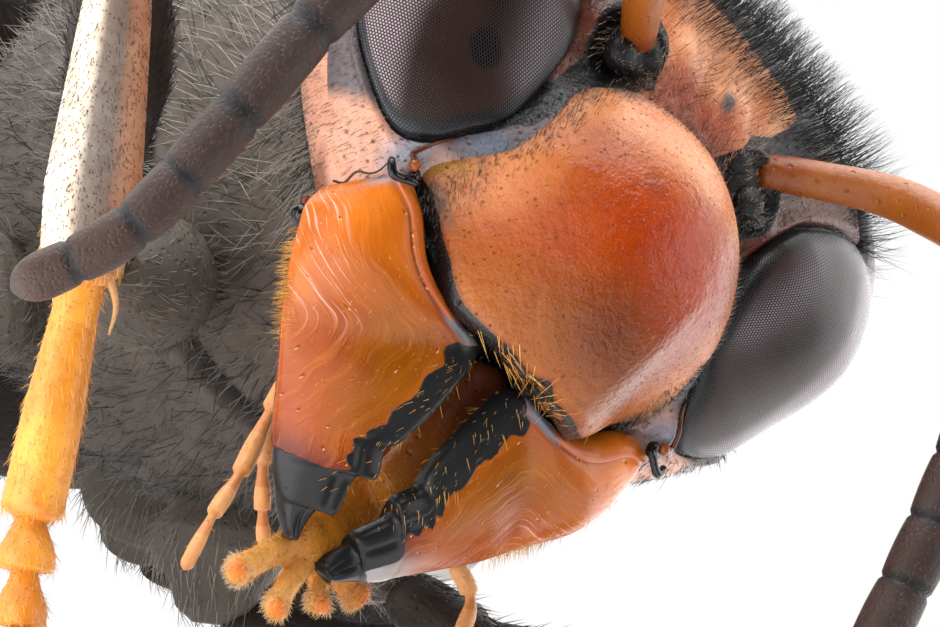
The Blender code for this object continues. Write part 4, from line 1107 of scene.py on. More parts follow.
def make_antenna(side_name, scape_finish, flagellum_finish):
    elbow = np.array(ELBOWS[side_name])
    first, second, third = from_head(SCAPE_KNOTS[side_name])
    line = smooth_path((first, second, third, elbow - unit(elbow - third) * 0.12), 60)
    t = np.linspace(0, 1, 60)
    radii = SCAPE_RADIUS * spread((0.8, 0.82, 0.84, 0.86, 0.9, 0.97, 1.03, 1.0, 0.85), 60)
    points, faces = closed_grid(tube_rings(line, round_ends(radii, 0.05), 28))
    tint = np.zeros((60, 28, 3)) + SCAPE_ORANGE
    tint = blend(tint, SCAPE_BASE, np.repeat(fall(t, 0.4, 0.25)[:, None], 28, 1))
    fields = plain_fields(padded(tint))
    piece(f"scape_{side_name}_skin", (points, faces), scape_finish,
          (f"scape_{side_name}",), fields)
    segments, per = 11, 14
    count = segments * per + 1
    line = smooth_path(FLAGELLA[side_name], count)
    k = np.arange(count) / per * 3
    share = (np.arange(count) % per) / per
    swell = 0.93 + 0.09 * np.sin(math.pi * share) ** 0.6
    swell[np.arange(count) % per == 0] = 0.86
    taper = np.minimum(1.0, 0.78 + 0.05 * k) * (1 - 0.18 * np.maximum(0, k - 18) / 14)
    radii = FLAGELLUM_RADIUS * swell * taper
    radii[0] *= 0.5
    tail = np.linspace(1, 0, 8)
    radii[-8:] *= np.sqrt(1 - (1 - tail) ** 2 * 0.97)
    points, faces = closed_grid(tube_rings(line, radii, 30, up=(0, 1, 0)))
    ring = np.repeat((np.minimum(share, 1 - share))[:, None], 30, 1)
    tint = np.zeros((count, 30, 3)) + FLAGELLUM_BROWN
    under = np.sin(np.linspace(0, 2 * math.pi, 30, endpoint=False))[None] * np.ones((count, 1))
    reddish = 0.6 * eased(under) + 0.6 * np.repeat(eased((k / 33 - 0.7) / 0.25)[:, None], 30, 1)
    tint = blend(tint, FLAGELLUM_RED, np.minimum(reddish, 1.0))
    tint = blend(tint, FLAGELLUM_RING, fall(ring, 0.15, 0.1))
    fields = plain_fields(padded(tint))
    name = f"flagellum_{side_name}"
    piece(name + "_skin", (points, faces), flagellum_finish, (name,), fields)


THORAX_AT = np.array((0.0, 5.95, 5.0))
THORAX_HALF = (2.9, 3.8, 3.0)
BODY_AXES = turn_x(math.radians(-12.0))


def from_thorax(points):
    return np.asarray(points, float) @ BODY_AXES.T + THORAX_AT


THORAX_SEAMS = (
    ((-2.55, 3.6), (-2.3, 2.6), (-0.75, 1.25), (-2.15, -0.5), (-2.7, -3.6)),
    ((-0.75, 1.25), (1.2, 1.75), (1.55, 1.3), (1.75, -1.2), (1.5, -3.6)),
    ((1.05, 3.6), (1.05, 1.7)),
    ((2.45, 3.6), (2.2, 1.9), (1.55, 1.3)),
)


def line_distance(points, line):
    """Distance to an open line in a plane."""
    best = np.full(points.shape[:-1], FAR)
    for start, end in zip(line, line[1:]):
        best = np.minimum(best, segment_distance(points, start, end))
    return best


THORAX_ROWS, THORAX_COLUMNS = 130, 160


def thorax_shape():
    wide, long, tall = THORAX_HALF
    t = -np.cos(np.linspace(0.12, math.pi - 0.12, THORAX_ROWS))[:, None]
    width = wide * np.sqrt(np.maximum(0.0, 1 - np.abs(t) ** 2.3))
    top = tall * np.sqrt(np.maximum(0.0, 1 - np.abs(t) ** 2.6)) * np.where(t < 0, 1.0, 1 - 0.16 * t)
    low = -tall * 0.92 * np.sqrt(np.maximum(0.0, 1 - np.abs(t) ** 2.2))
    turns = np.linspace(0, 2 * math.pi, THORAX_COLUMNS, endpoint=False)[None]
    rings = np.stack((width * np.cos(turns), long * t + turns * 0,
                      (top + low) / 2 + (top - low) / 2 * np.sin(turns)), axis=-1)
    seam = np.full(rings.shape[:2], 9.0)
    for line in THORAX_SEAMS:
        seam = np.minimum(seam, line_distance(rings[..., 1:], line))
    middle = np.stack((np.zeros(rings.shape[:2]), rings[..., 1], (top + low) / 2 + turns * 0), axis=-1)
    out = unit(rings - middle)
    lift = -0.1 * near(seam, 0, 0.09)
    x, y, z = (rings[..., k] for k in range(3))
    scutellum = np.exp(-((y - 1.75) / 0.5) ** 2 - (x / 1.3) ** 2) * (z > 0)
    lift += 0.12 * scutellum - 0.08 * near(x, 0, 0.06) * (y < 0.9) * (z > 0) * 0.5
    return rings + out * lift[..., None], seam


THORAX_GREY = (0.12, 0.1, 0.085)
THORAX_GROOVE = (0.015, 0.012, 0.01)
NECK_BROWN = (0.03, 0.02, 0.015)


def body_tube(name, front, rear, radii, sides, finish, colour):
    """A plain tube from front to rear, for the neck and the waist."""
    points, faces = closed_grid(tube_rings(np.linspace(front, rear, 20), spread(radii, 20), sides))
    fields = plain_fields(np.zeros((len(points), 3)) + colour)
    piece(name + "_skin", (points, faces), finish, (name,), fields)


def make_thorax(finish):
    rings, seam = thorax_shape()
    points, faces = closed_grid(rings)
    tint = np.zeros((*rings.shape[:2], 3)) + THORAX_GREY
    tint = blend(tint, THORAX_GROOVE, fall(seam, 0.2, 0.15))
    names = ("pronotum", "mesonotum", "scutellum", "mesopleura", "propodeum")
    piece("thorax_skin", (from_thorax(points), faces), finish, names,
          plain_fields(padded(tint)))
    front = from_head((0, HEAD_BACK - 0.4, -0.15))
    rear = THORAX_AT + BODY_AXES @ np.array((0, -THORAX_HALF[1] + 0.5, -0.5))
    body_tube("neck", front, rear, (0.75, 0.7, 0.7, 0.8), 32, finish, NECK_BROWN)


SEGMENT_ENDS = (10.15, 12.6, 14.7, 16.6, 18.3, 19.8, 21.5)


def gaster_ring(y, scale, turns):
    start, end = SEGMENT_ENDS[0], SEGMENT_ENDS[-1]
    t = (y - start) / (end - start)
    front = np.minimum(1.0, np.sqrt(np.maximum(0.0, 1 - (1 - np.minimum(t / 0.24, 1)) ** 2.2)))
    rear = np.sqrt(np.maximum(0.0, 1 - (np.maximum(0.0, t - 0.3) / 0.7) ** 2.0))
    size = np.maximum(0.16, front * rear) * scale
    middle = 4.0 - 0.6 * t - 1.35 * t * t
    return np.stack((3.1 * size * np.cos(turns), y + turns * 0, middle + 2.75 * size * np.sin(turns)),
                    axis=-1)


GASTER_BLACK = (0.022, 0.015, 0.011)
BAND_WIDTHS = (0.10, 0.3, 0.24)
BAND_YELLOW = (0.72, 0.36, 0.05)
FOURTH_YELLOW = (0.7, 0.33, 0.04)
FOURTH_PATCH = (0.05, 0.02, 0.01)
TAIL_BROWN = (0.16, 0.06, 0.02)
PETIOLE_BLACK = (0.02, 0.014, 0.01)


def make_gaster(finish):
    turns = np.linspace(0, 2 * math.pi, 96, endpoint=False)[None]
    for k, (start, end) in enumerate(zip(SEGMENT_ENDS, SEGMENT_ENDS[1:])):
        first = start if k == 0 else start - 0.35
        last = end - (0.0 if k == 5 else 0.06)
        s = np.linspace(0, 1, 44)[:, None] if k else (np.linspace(0, 1, 44) ** 1.6)[:, None]
        y = first + (last - first) * s
        inset = 1.0 if k == 0 else 0.955 + 0.045 * eased((y - start + 0.3) / 0.6)
        lip = 0.012 * eased((y - last + 0.5) / 0.3) - 0.02 * eased((y - last + 0.05) / 0.05)
        rings = gaster_ring(y, inset + lip * (k < 5), turns)
        points, faces = closed_grid(rings)
        up = np.sin(turns) + 0 * y
        tint = np.zeros((*up.shape, 3)) + GASTER_BLACK
        to_edge = last - y + up * 0
        if k < 3:
            band = BAND_WIDTHS[k]
            tint = blend(tint, BAND_YELLOW, eased((band - to_edge) / 0.08))
        elif k == 3:
            patch = eased((to_edge - 1.15 + 0.5 * np.abs(np.cos(turns))) / 0.25) * rise(up, -0.35, 0.3)
            tint = blend(tint + FOURTH_YELLOW, FOURTH_PATCH, patch)
        else:
            tint = blend(tint, TAIL_BROWN, np.ones_like(up))
        fields = plain_fields(padded(tint))
        piece(f"gaster_{k + 1}_skin", (points, faces), finish, (f"gaster_{k + 1}",), fields)
    rear = np.array((0, SEGMENT_ENDS[0] + 0.25, 4.0))
    front = THORAX_AT + BODY_AXES @ np.array((0, THORAX_HALF[1] - 0.7, -0.6))
    body_tube("petiole", front, rear, (0.5, 0.5, 0.5, 0.46), 28, finish, PETIOLE_BLACK)


WINGS = {
    "forewing": {"root": (3.1, 4.75, 6.9), "tip": (6.6, 20.9, 4.5), "width": 3.1,
                 "across": (0.72, -0.1, -0.68),
                 "veins": (0.0, 0.16, 0.42, 0.7), "cross": (0.36, 0.55, 0.74)},
    "hindwing": {"root": (2.75, 5.9, 5.75), "tip": (5.0, 17.3, 3.9), "width": 1.9,
                 "across": (0.6, -0.1, -0.78),
                 "veins": (0.0, 0.4), "cross": (0.5,)},
}


def wing_width(t):
    grow = 0.26 + 0.74 * np.minimum(1.0, t / 0.55) ** 0.8
    return grow * np.sqrt(np.maximum(0.0, 1 - np.maximum(0.0, (t - 0.72) / 0.285) ** 2.2))


def wing_veins(wing, t, w):
    """1 on the veins of a wing: t is the share along it and w the share across."""
    vein = np.zeros(t.shape)
    for mark in wing["veins"]:
        off = (w - mark - 0.03 * np.sin(5 * t)) * wing["width"]
        vein = np.maximum(vein, near(off, 0, 0.07) * (t < 0.93))
    for mark in wing["cross"]:
        off = (t - mark - 0.02 * np.sin(9 * w)) * 16
        vein = np.maximum(vein, near(off, 0, 0.09) * (w < 0.72))
    return vein


def wing_shape(wing):
    """(points, faces, veins) of the left wing: an upper and a lower sheet, joined round the rim."""
    root, tip = np.array(wing["root"]), np.array(wing["tip"])
    across = unit(wing["across"])
    normal = unit(np.cross(tip - root, across))
    t, w = np.meshgrid(np.linspace(0, 1, 120), np.linspace(0, 1, 44), indexing="ij")
    middle = root + (tip - root) * t[..., None] + normal * (0.25 * np.sin(math.pi * t))[..., None]
    vein = wing_veins(wing, t, w)
    fold = 0.06 * np.sin(w * 19) * (1 - vein)
    place = middle + across * ((w - 0.45) * wing["width"] * wing_width(t))[..., None]
    place = place + normal * (fold * 0.5)[..., None]
    thick = 0.025 + 0.07 * vein
    rows, columns = t.shape
    top, low = place + normal * thick[..., None], place - normal * thick[..., None]
    points = np.concatenate((top.reshape(-1, 3), low.reshape(-1, 3)))
    half = rows * columns
    over = grid_faces(rows, columns)
    under = over[:, ::-1] + half
    rim = np.concatenate((np.arange(columns), np.arange(1, rows) * columns + columns - 1,
                          (rows - 1) * columns + np.arange(columns - 2, -1, -1),
                          np.arange(rows - 2, 0, -1) * columns))
    after = np.roll(rim, -1)
    edge = np.concatenate((np.stack((rim, half + rim, half + after), 1),
                           np.stack((rim, half + after, after), 1)))
    return points, np.concatenate((over, under, edge)), np.concatenate((vein.ravel(), vein.ravel()))


def make_wings(finish):
    for wing_name, wing in WINGS.items():
        points, faces, vein = wing_shape(wing)
        for side_name, side in SIDES:
            name = f"{wing_name}_{side_name}"
            shape = (mirrored(points, side), faces)
            piece(name + "_skin", shape, finish, (name,), {"vein": vein})


MEMBRANE_DARK = (0.2, 0.11, 0.05)
MEMBRANE_PALE = (0.34, 0.2, 0.09)
VEIN_BROWN = (0.06, 0.03, 0.015)


def wing_finish():
    t = Tree("wing_smoke_skin")
    place = t.place()
    colour = t.mix(t.ramp(t.noise(place, 0.7, 3), 0.3, 0.7), MEMBRANE_DARK, MEMBRANE_PALE)
    colour = t.mix(t.ramp(t.field("vein"), 0.3, 0.6), colour, VEIN_BROWN)
    alpha = t.ramp(t.field("vein"), 0.2, 0.6, 0.62, 1.0)
    normal = t.bump(t.noise(place, 14.0, 3), 0.01)
    return t.set(base_color=colour, roughness=0.3, normal=normal, alpha=alpha)


LEGS = {
    "fore_right": ((-1.0, 3.2, 3.8), (-1.9, 1.5, 3.2), (-4.62, -0.65, 5.44), (-2.58, -1.08, 2.87),
                   (-1.6, -1.45, 1.34), (-1.03, -1.7, 0.61), (-0.55, -2.4, 0.12)),
    "fore_left": ((1.0, 3.2, 3.8), (1.9, 1.5, 3.2), (5.5, -0.2, 4.1), (4.9, -2.0, 1.4),
                  (4.85, -3.35, 0.42), (4.75, -4.1, 0.2), (4.6, -4.9, 0.12)),
    "mid_right": ((-1.2, 5.3, 3.0), (-2.1, 5.0, 1.9), (-5.6, 4.2, 4.6), (-7.6, 5.6, 1.3),
                  (-8.35, 6.9, 0.4), (-8.8, 7.9, 0.2), (-9.3, 8.9, 0.12)),
    "mid_left": ((1.2, 5.3, 3.0), (2.1, 5.0, 1.9), (5.6, 4.2, 4.6), (7.6, 5.6, 1.3),
                 (8.35, 6.9, 0.4), (8.8, 7.9, 0.2), (9.3, 8.9, 0.12)),
    "hind_right": ((-1.1, 7.5, 2.9), (-2.0, 8.2, 1.9), (-5.7, 9.5, 4.4), (-7.4, 13.4, 1.4),
                   (-7.95, 15.6, 0.4), (-8.3, 16.8, 0.2), (-8.7, 18.0, 0.12)),
    "hind_left": ((1.1, 7.5, 2.9), (2.0, 8.2, 1.9), (5.6, 9.9, 3.9), (7.4, 13.6, 1.2),
                  (7.95, 15.8, 0.4), (8.3, 17.0, 0.2), (8.7, 18.2, 0.12)),
}
LEG_THICKNESS = {"fore": 1.0, "mid": 1.0, "hind": 1.1}


def shortened(start, end, from_start, from_end):
    along = unit(end - start)
    return start + along * from_start, end - along * from_end


def limb_shape(start, end, radii, count=60, sides=26):
    along = unit(end - start)
    inner = np.linspace(start + along * radii[0] * 0.8, end - along * radii[-1] * 0.8, len(radii))
    line = np.array([start, start + along * radii[0] * 0.3, *inner, end - along * radii[-1] * 0.3, end])
    sizes = np.array([radii[0] * 0.45, radii[0] * 0.85, *radii, radii[-1] * 0.85, radii[-1] * 0.45])
    return tube_rings(spread(line, count), spread(sizes, count), sides)


def along_tint(rings, colours):
    """colours: pairs of a share of the length and the colour there."""
    shares, tints = np.array([c[0] for c in colours]), np.array([c[1] for c in colours])
    s = np.linspace(0, 1, rings.shape[0])
    tint = np.stack([np.interp(s, shares, tints[:, k]) for k in range(3)], axis=1)
    return np.repeat(tint[:, None], rings.shape[1], 1)


def leg_piece(name, rings, finish, tint):
    piece(name + "_skin", closed_grid(rings), finish, (name,), plain_fields(padded(tint)))


BLACK = (0.025, 0.018, 0.014)
GREY = (0.11, 0.095, 0.08)
CLAW = ((-0.05, 0.06, 0.0), (0.12, 0.14, 0.05), (0.26, 0.19, 0.0), (0.33, 0.2, -0.08))


SHIN_GREY = (0.2, 0.165, 0.14)
SHIN_PAINTED_HIGHLIGHT = (0.8, 0.72, 0.58)
SHIN_INSIDE = (0.42, 0.2, 0.1)
SHIN_END = (0.62, 0.22, 0.04)
KNEE_BROWN = (0.2, 0.1, 0.05)
SHIN_DARK = (0.05, 0.03, 0.02)
SHIN_FOOT = (0.3, 0.16, 0.05)
TOE_YELLOW = (0.85, 0.36, 0.04)
TOE_ORANGE = (0.62, 0.18, 0.008)
CLAW_BROWN = (0.1, 0.03, 0.01)
SPUR_PALE = (0.55, 0.3, 0.12)


def shin_tint(rings, inner):
    """Painted light across the shin: a painted cream highlight on the outside, grey in the middle and orange
    on the inside.
    """
    out = unit(rings - rings.mean(axis=1, keepdims=True)) @ inner
    s = np.linspace(0, 1, rings.shape[0])[:, None] + 0 * out
    tint = np.zeros((*out.shape, 3)) + SHIN_GREY
    tint = blend(tint, SHIN_PAINTED_HIGHLIGHT, fall(out, -0.15, 0.3))
    tint = blend(tint, SHIN_INSIDE, rise(out, 0.3, 0.35))
    tint = blend(tint, SHIN_END, rise(s, 0.84, 0.12))
    return tint


def make_leg(name, finishes):
    root, hip, knee, ankle, instep, toes, tip = (np.array(point, float) for point in LEGS[name])
    size = LEG_THICKNESS[name.split("_")[0]]
    coxa = limb_shape(root, hip, [0.62 * size * scale for scale in (0.8, 1.0, 1.05, 0.95, 0.7)])
    tint = along_tint(coxa, ((0, GREY), (1, GREY)))
    leg_piece(f"coxa_{name}", coxa, finishes["dark"], tint)
    start, end = shortened(hip, knee, 0.1, 0.1)
    scales = (0.55, 0.62, 0.5, 0.8, 1.0, 1.0, 0.85, 0.6)
    femur = limb_shape(start, end, [0.46 * size * scale for scale in scales])
    tint = along_tint(femur, ((0, BLACK), (0.85, BLACK), (1, KNEE_BROWN)))
    leg_piece(f"femur_{name}", femur, finishes["dark"], tint)
    start, end = shortened(knee, ankle, 0.12, 0.12)
    tibia = limb_shape(start, end, [0.4 * size * scale for scale in (0.55, 0.75, 0.85, 0.95, 1.05, 0.95)])
    if name.startswith("fore"):
        # The fore shins' tint follows the camera's right-hand way, mirrored for the left leg, so that their
        # painted highlight faces the light.
        tint = shin_tint(tibia, RIGHT * ((-1 if name.endswith("left") else 1), 1, 1))
    else:
        tint = along_tint(tibia, ((0, BLACK), (0.75, SHIN_DARK), (1, SHIN_FOOT)))
    leg_piece(f"tibia_{name}", tibia, finishes["leg"], tint)
    make_tarsus(name, size, (ankle, instep, toes, tip), finishes["foot"])
    make_spurs(name, size, start, end, finishes["foot"])


def make_tarsus(name, size, joints, finish):
    """Five flared links and two claws."""
    ankle, instep, toes, tip = joints
    start = shortened(ankle, instep, -0.12, 0)[0]
    stops = (start, instep, (instep + toes) / 2, toes, (toes + tip) / 2, tip)
    s = np.linspace(0, 1, 30)
    shapes, tints = [], []
    for k, (a, b) in enumerate(zip(stops, stops[1:])):
        flare = 0.5 + 0.5 * eased(s * 1.25) - 0.5 * rise(s, 0.96, 0.04)
        if k == 0:
            flare = 0.72 + 0.28 * eased(s * 1.4) - 0.5 * rise(s, 0.97, 0.03)
        path = a + (b - a) * (s * 1.06 - 0.03)[:, None]
        rings = tube_rings(path, 0.27 * size * (1 - 0.07 * k) * flare, 24)
        rings[..., 2] = np.maximum(rings[..., 2], 0.0)
        shapes.append(closed_grid(rings))
        tints.append(np.array(TOE_YELLOW) + (np.array(TOE_ORANGE) - TOE_YELLOW) * (0.15 + 0.18 * k))
    heading = unit((tip - toes) * (1, 1, 0))
    across = np.array((-heading[1], heading[0], 0))
    for side in (-1, 1):
        claw = tip + np.array([heading * reach + across * side * out + (0, 0, up)
                               for reach, out, up in CLAW])
        claw[:, 2] = np.maximum(claw[:, 2], 0.03)
        shapes.append(closed_grid(tube_rings(smooth_path(claw, 16), np.linspace(0.06, 0.012, 16), 12)))
        tints.append(CLAW_BROWN)
    tint = np.concatenate([np.zeros((len(shape[0]), 3)) + colour for shape, colour in zip(shapes, tints)])
    tarsus = f"tarsus_{name}"
    piece(tarsus + "_skin", merged(*shapes), finish, (tarsus,), plain_fields(tint))


def make_spurs(name, size, start, end, finish):
    """Two spurs at the lower end of the tibia."""
    down, along = unit(np.cross(end - start, (0.3, 0.5, 0.2))), unit(end - start)
    spurs = []
    for side, length in ((1, 0.5), (-0.6, 0.36)):
        root = end + (down * side + (0, 0.1, 0)) * 0.26 * size - along * 0.12
        spur = np.array((root, root + along * length * 0.5 + down * side * 0.1,
                         root + along * length + down * side * 0.07))
        spurs.append(closed_grid(tube_rings(smooth_path(spur, 14), np.linspace(0.045, 0.01, 14), 10)))
    points, faces = merged(*spurs)
    fields = plain_fields(np.zeros((len(points), 3)) + SPUR_PALE)
    piece(f"spurs_{name}", (points, faces), finish, (), fields)


def hair_finish():
    t = Tree("setae")
    return t.set(base_color=t.field("tint", "Color"),
                 roughness=t.ramp(t.noise(t.place(), 3.0), 0.3, 0.7, 0.35, 0.5),
                 specular_ior_level=0.5)


def scatter(name, count, weigh):
    """Roots spread over a skin, more where weigh(points) is higher: (points, normals, unwrap places)."""
    points, faces = skins[name]
    normals = normals_of(points, faces)
    weights = np.maximum(weigh(points), 0)
    a, b, c = (points[faces[:, k]] for k in range(3))
    area = np.linalg.norm(np.cross(b - a, c - a), axis=1) * weights[faces].mean(axis=1)
    chosen = rng.choice(len(faces), count, p=area / area.sum())
    one, two = np.sqrt(rng.random(count))[:, None], rng.random(count)[:, None]
    roots = a[chosen] * (1 - one) + b[chosen] * one * (1 - two) + c[chosen] * one * two
    return roots, unit(normals[faces[chosen]].mean(axis=1)), unwrap(points)[faces[chosen, 0]]


def unwrap(points):
    """Each point's place round the shape's own long axis, and along it, from 0 to 1."""
    middle = points.mean(axis=0)
    axes = np.linalg.svd(points[:: max(1, len(points) // 2000)] - middle, full_matrices=False)[2]
    local = (points - middle) @ axes.T
    along = local[:, 0]
    turn = np.arctan2(local[:, 2], local[:, 1]) / (2 * math.pi) + 0.5
    return np.stack((0.01 + 0.98 * turn, 0.01 + 0.98 * (along - along.min()) / np.ptp(along)), axis=1)


HAIR_TOP = SOLID_BOX[1][2] / MM + 0.08
HAIR_SIDES = 3
ROOT_DEPTH = 0.012


def hair_points(place, heading, bend, reach, radius, steps):
    """Rings of each hair from its root, and its tip, kept under HAIR_TOP."""
    rings, turns = [], np.arange(HAIR_SIDES) * 2 * math.pi / HAIR_SIDES
    for k in range(steps):
        share = k / steps
        way = unit(heading + bend * share)
        across = unit(np.cross(way, (0.31, 0.52, 0.79)))
        raised = np.cross(way, across)
        size = radius * (1 - 0.75 * share**1.5)
        around = across[:, None] * np.cos(turns)[:, None] + raised[:, None] * np.sin(turns)[:, None]
        rings.append(place[:, None] + size * around)
        place = place + way * reach / steps
    points = np.concatenate((*rings, place[:, None]), axis=1)
    over = np.maximum(points[..., 2] - HAIR_TOP, 0)
    points[..., 2] += 0.15 * np.tanh(over / 0.15) - over
    return points


def hair_faces(steps, each):
    """Triangles of one hair, whose tip is its last point."""
    rows = []
    for k in range(steps - 1):
        for i in range(HAIR_SIDES):
            j = (i + 1) % HAIR_SIDES
            a, b = k * HAIR_SIDES + i, k * HAIR_SIDES + j
            d, e = a + HAIR_SIDES, b + HAIR_SIDES
            rows += [(a, b, e), (a, e, d)]
    last = (steps - 1) * HAIR_SIDES
    rows += [(last + i, last + (i + 1) % HAIR_SIDES, each - 1) for i in range(HAIR_SIDES)]
    return np.array(rows)


class Coat:
    """Gathers setae and makes them one piece."""

    def __init__(self, name, slot):
        self.name, self.slot, self.parts = name, slot, []

    def grow(self, placed, lie, length, radius, stand, curl, tint, steps=3, wander=0.15):
        """placed is what scatter() gives. lie is the way the hairs lean, length a pair, least and most."""
        roots, normals, uv = placed
        n = len(roots)
        lie = np.broadcast_to(np.asarray(lie, float), roots.shape) + rng.normal(0, wander, roots.shape)
        lie = unit(lie - normals * (lie * normals).sum(axis=1, keepdims=True))
        stand = np.clip(rng.normal(stand, 0.1, (n, 1)), 0.05, 1.2)
        heading = unit(normals * stand + lie * (1 - stand) + rng.normal(0, wander * 0.5, roots.shape))
        length = np.broadcast_to(np.asarray(length, float), (n, 2))
        reach = length[:, :1] + (length[:, 1:] - length[:, :1]) * rng.random((n, 1))
        points = hair_points(roots - normals * ROOT_DEPTH, heading, lie * curl, reach, radius, steps)
        each = points.shape[1]
        faces = (hair_faces(steps, each)[None] + (np.arange(n) * each)[:, None, None]).reshape(-1, 3)
        patch = np.stack((np.cos(np.arange(each)), np.sin(np.arange(each))), axis=1) * 0.0015
        tint = np.broadcast_to(np.asarray(tint, float), roots.shape) * rng.uniform(0.75, 1.25, (n, 1))
        self.parts.append((points.reshape(-1, 3), faces, (uv[:, None] + patch).reshape(-1, 2),
                           np.repeat(tint, each, 0)))

    def finish(self, material):
        points, faces = merged(*[part[:2] for part in self.parts])
        uv, tint = (np.concatenate([part[k] for part in self.parts]) for k in (2, 3))
        piece(self.name, (points, faces), material, (), {"tint": tint}, uv, outward=False)


INK = (0.008, 0.007, 0.006)
GOLD = (0.75, 0.4, 0.08)
AMBER = (0.7, 0.22, 0.03)
PALE = (0.75, 0.55, 0.35)


PALE_GREY = (0.3, 0.26, 0.22)
CHEEK_HAIR = (0.02, 0.012, 0.01)
CLYPEUS_HAIR = (0.3, 0.1, 0.03)
BROW_DARK = (0.05, 0.012, 0.008)
BROW_PINK = (0.7, 0.36, 0.24)
FUZZ_DARK = (0.05, 0.048, 0.05)
FUZZ_PALE = (0.32, 0.31, 0.32)
RIM_DARK = (0.04, 0.037, 0.035)
RIM_PALE = (0.32, 0.3, 0.27)
PILE_DARK = (0.05, 0.038, 0.03)
PILE_PALE = (0.34, 0.3, 0.255)
GASTER_HAIR = (0.03, 0.02, 0.012)
BAND_HAIR = (0.3, 0.16, 0.05)


def two_tone(count, share, one, other):
    """A colour for each hair: one for about this share of them, other for the rest."""
    return np.where(rng.random((count, 1)) < share, one, other)


def everywhere(points):
    return np.ones(len(points))


def in_head(function):
    return lambda points: function(*to_head(points).T)


def ring_turn(x, y):
    return np.degrees(np.arctan2(np.abs(x) / 3.0, -y / 1.28))


def coat_head(material):
    coat = Coat("coat_vertex", "orange_cuticle")
    top = in_head(lambda x, y, z: rise(z, 1.75, 0.3) * fall(y, 1.2, 0.5))
    coat.grow(scatter("head_skin", 9600, top), head_direction((0, 0.1, 1)), (0.2, 0.68), 0.003, 0.8, 0.35,
              INK, wander=0.17)
    back = in_head(lambda x, y, z: eased((ring_turn(x, y) - 105) / 15) * fall(z, 2.3, 0.5)
                   * rise(z, -1.6, 0.4))
    # Most hairs at the back of the head are painted light grey: painted backlight on dark hairs.
    placed = scatter("head_skin", 3400, back)
    grey = two_tone(3400, 0.4, INK, PALE_GREY)
    coat.grow(placed, head_direction((0, 0.7, -0.6)), (0.35, 0.8), 0.0036, 0.6, 0.5, grey)
    coat.finish(material)
    coat = Coat("coat_face", "orange_cuticle")
    frons = in_head(lambda x, y, z: (y < 0) * rise(z, 0.75, 0.3) * fall(z, 2.1, 0.2) * (np.abs(x) < 1.9)
                    * (0.4 + rise(z, 1.5, 0.4)))
    coat.grow(scatter("head_skin", 1300, frons), head_direction((0.15, -0.3, 1)), (0.08, 0.26), 0.002, 0.6,
              0.2, INK, wander=0.1)
    middle = in_head(lambda x, y, z: (y < 0) * near(z, 1.0, 0.3) * (np.abs(x) < 0.8))
    reds = two_tone(1300, 0.4, BROW_DARK, BROW_PINK)
    coat.grow(scatter("head_skin", 1300, middle), head_direction((0, -0.2, -1)), (0.07, 0.17), 0.0024, 0.4,
              0.3, reds)
    around = in_head(lambda x, y, z: (y < 0) * np.exp(-(np.hypot(np.abs(x) - 0.9, z - 0.95) / 0.42) ** 4))
    coat.grow(scatter("antenna_sockets", 420, everywhere), head_direction((0.2, -0.3, 1)), (0.04, 0.09),
              0.0016, 0.5, 0.2, PALE)
    coat.grow(scatter("head_skin", 320, around), head_direction((0.2, -0.3, 1)), (0.05, 0.12), 0.0016, 0.5,
              0.2, PALE)
    fuzz = in_head(lambda x, y, z: (y < -0.6) * rise(np.abs(x), 1.15, 0.1) * fall(np.abs(x), 1.75, 0.1)
                   * rise(z, -0.85, 0.1) * fall(z, 0.3, 0.2))
    greys = two_tone(1500, 0.5, FUZZ_DARK, FUZZ_PALE)
    coat.grow(scatter("head_skin", 1500, fuzz), head_direction((0.3, -0.2, -0.8)), (0.04, 0.08), 0.0022,
              0.45, 0.3, greys)
    cheek = in_head(lambda x, y, z: (z < 0.6) * (ring_turn(x, y) > 50) * (ring_turn(x, y) < 125)
                    * rise(z, -1.35, 0.15))
    coat.grow(scatter("head_skin", 3400, cheek), head_direction((0, 0.9, -0.5)), (0.06, 0.13), 0.0026,
              0.3, 0.6, CHEEK_HAIR, wander=0.07)
    coat.finish(material)


def clypeus_edge(x, z):
    return outline_distance(np.stack((x, z), axis=1), CLYPEUS_OUTLINE)


def coat_clypeus(material):
    coat = Coat("coat_clypeus", "orange_cuticle")
    coat.grow(scatter("clypeus_skin", 900, everywhere), head_direction((0, -0.2, -1)), (0.03, 0.06),
              0.0025, 0.5, 0.4, CLYPEUS_HAIR)
    edge = in_head(lambda x, y, z: (clypeus_edge(x, z) < 0.2) * (z > -0.8) * 1.0)
    coat.grow(scatter("clypeus_skin", 1300, edge), head_direction((0, -0.3, 1)), (0.07, 0.15), 0.0028,
              0.55, 0.3, INK, wander=0.08)
    fuzz = in_head(lambda x, y, z: (clypeus_edge(x, z) < 0.12) * (z < 0.35) * (z > -1.0) * (y > -2.0) * 1.0)
    greys = two_tone(2600, 0.5, RIM_DARK, RIM_PALE)
    coat.grow(scatter("clypeus_skin", 2600, fuzz), head_direction((0, -0.5, 1)), (0.04, 0.09), 0.003, 0.5,
              0.4, greys)
    corner = in_head(lambda x, y, z: np.exp(-((np.abs(x) - 1.48) / 0.12) ** 2 - ((z + 1.02) / 0.22) ** 2))
    coat.grow(scatter("clypeus_skin", 1500, corner), head_direction((0.2, -0.3, -1)), (0.06, 0.13), 0.0026,
              0.5, 0.4, greys[:1500])
    low = in_head(lambda x, y, z: (clypeus_edge(x, z) < 0.07) * (z < -1.05) * (y < -1.0) * 1.0)
    roots = scatter("clypeus_skin", 70, low)
    tints = two_tone(70, 0.5, GOLD, AMBER)
    outward = np.clip(to_head(roots[0]) * -0.8, -0.65, 0.65) * (1, 0, 0) + (0, -0.12, -0.76)
    coat.grow(roots, head_direction(outward), (0.16, 0.34), 0.0045, 0.22, 0.1, tints, wander=0.02)
    coat.finish(material)


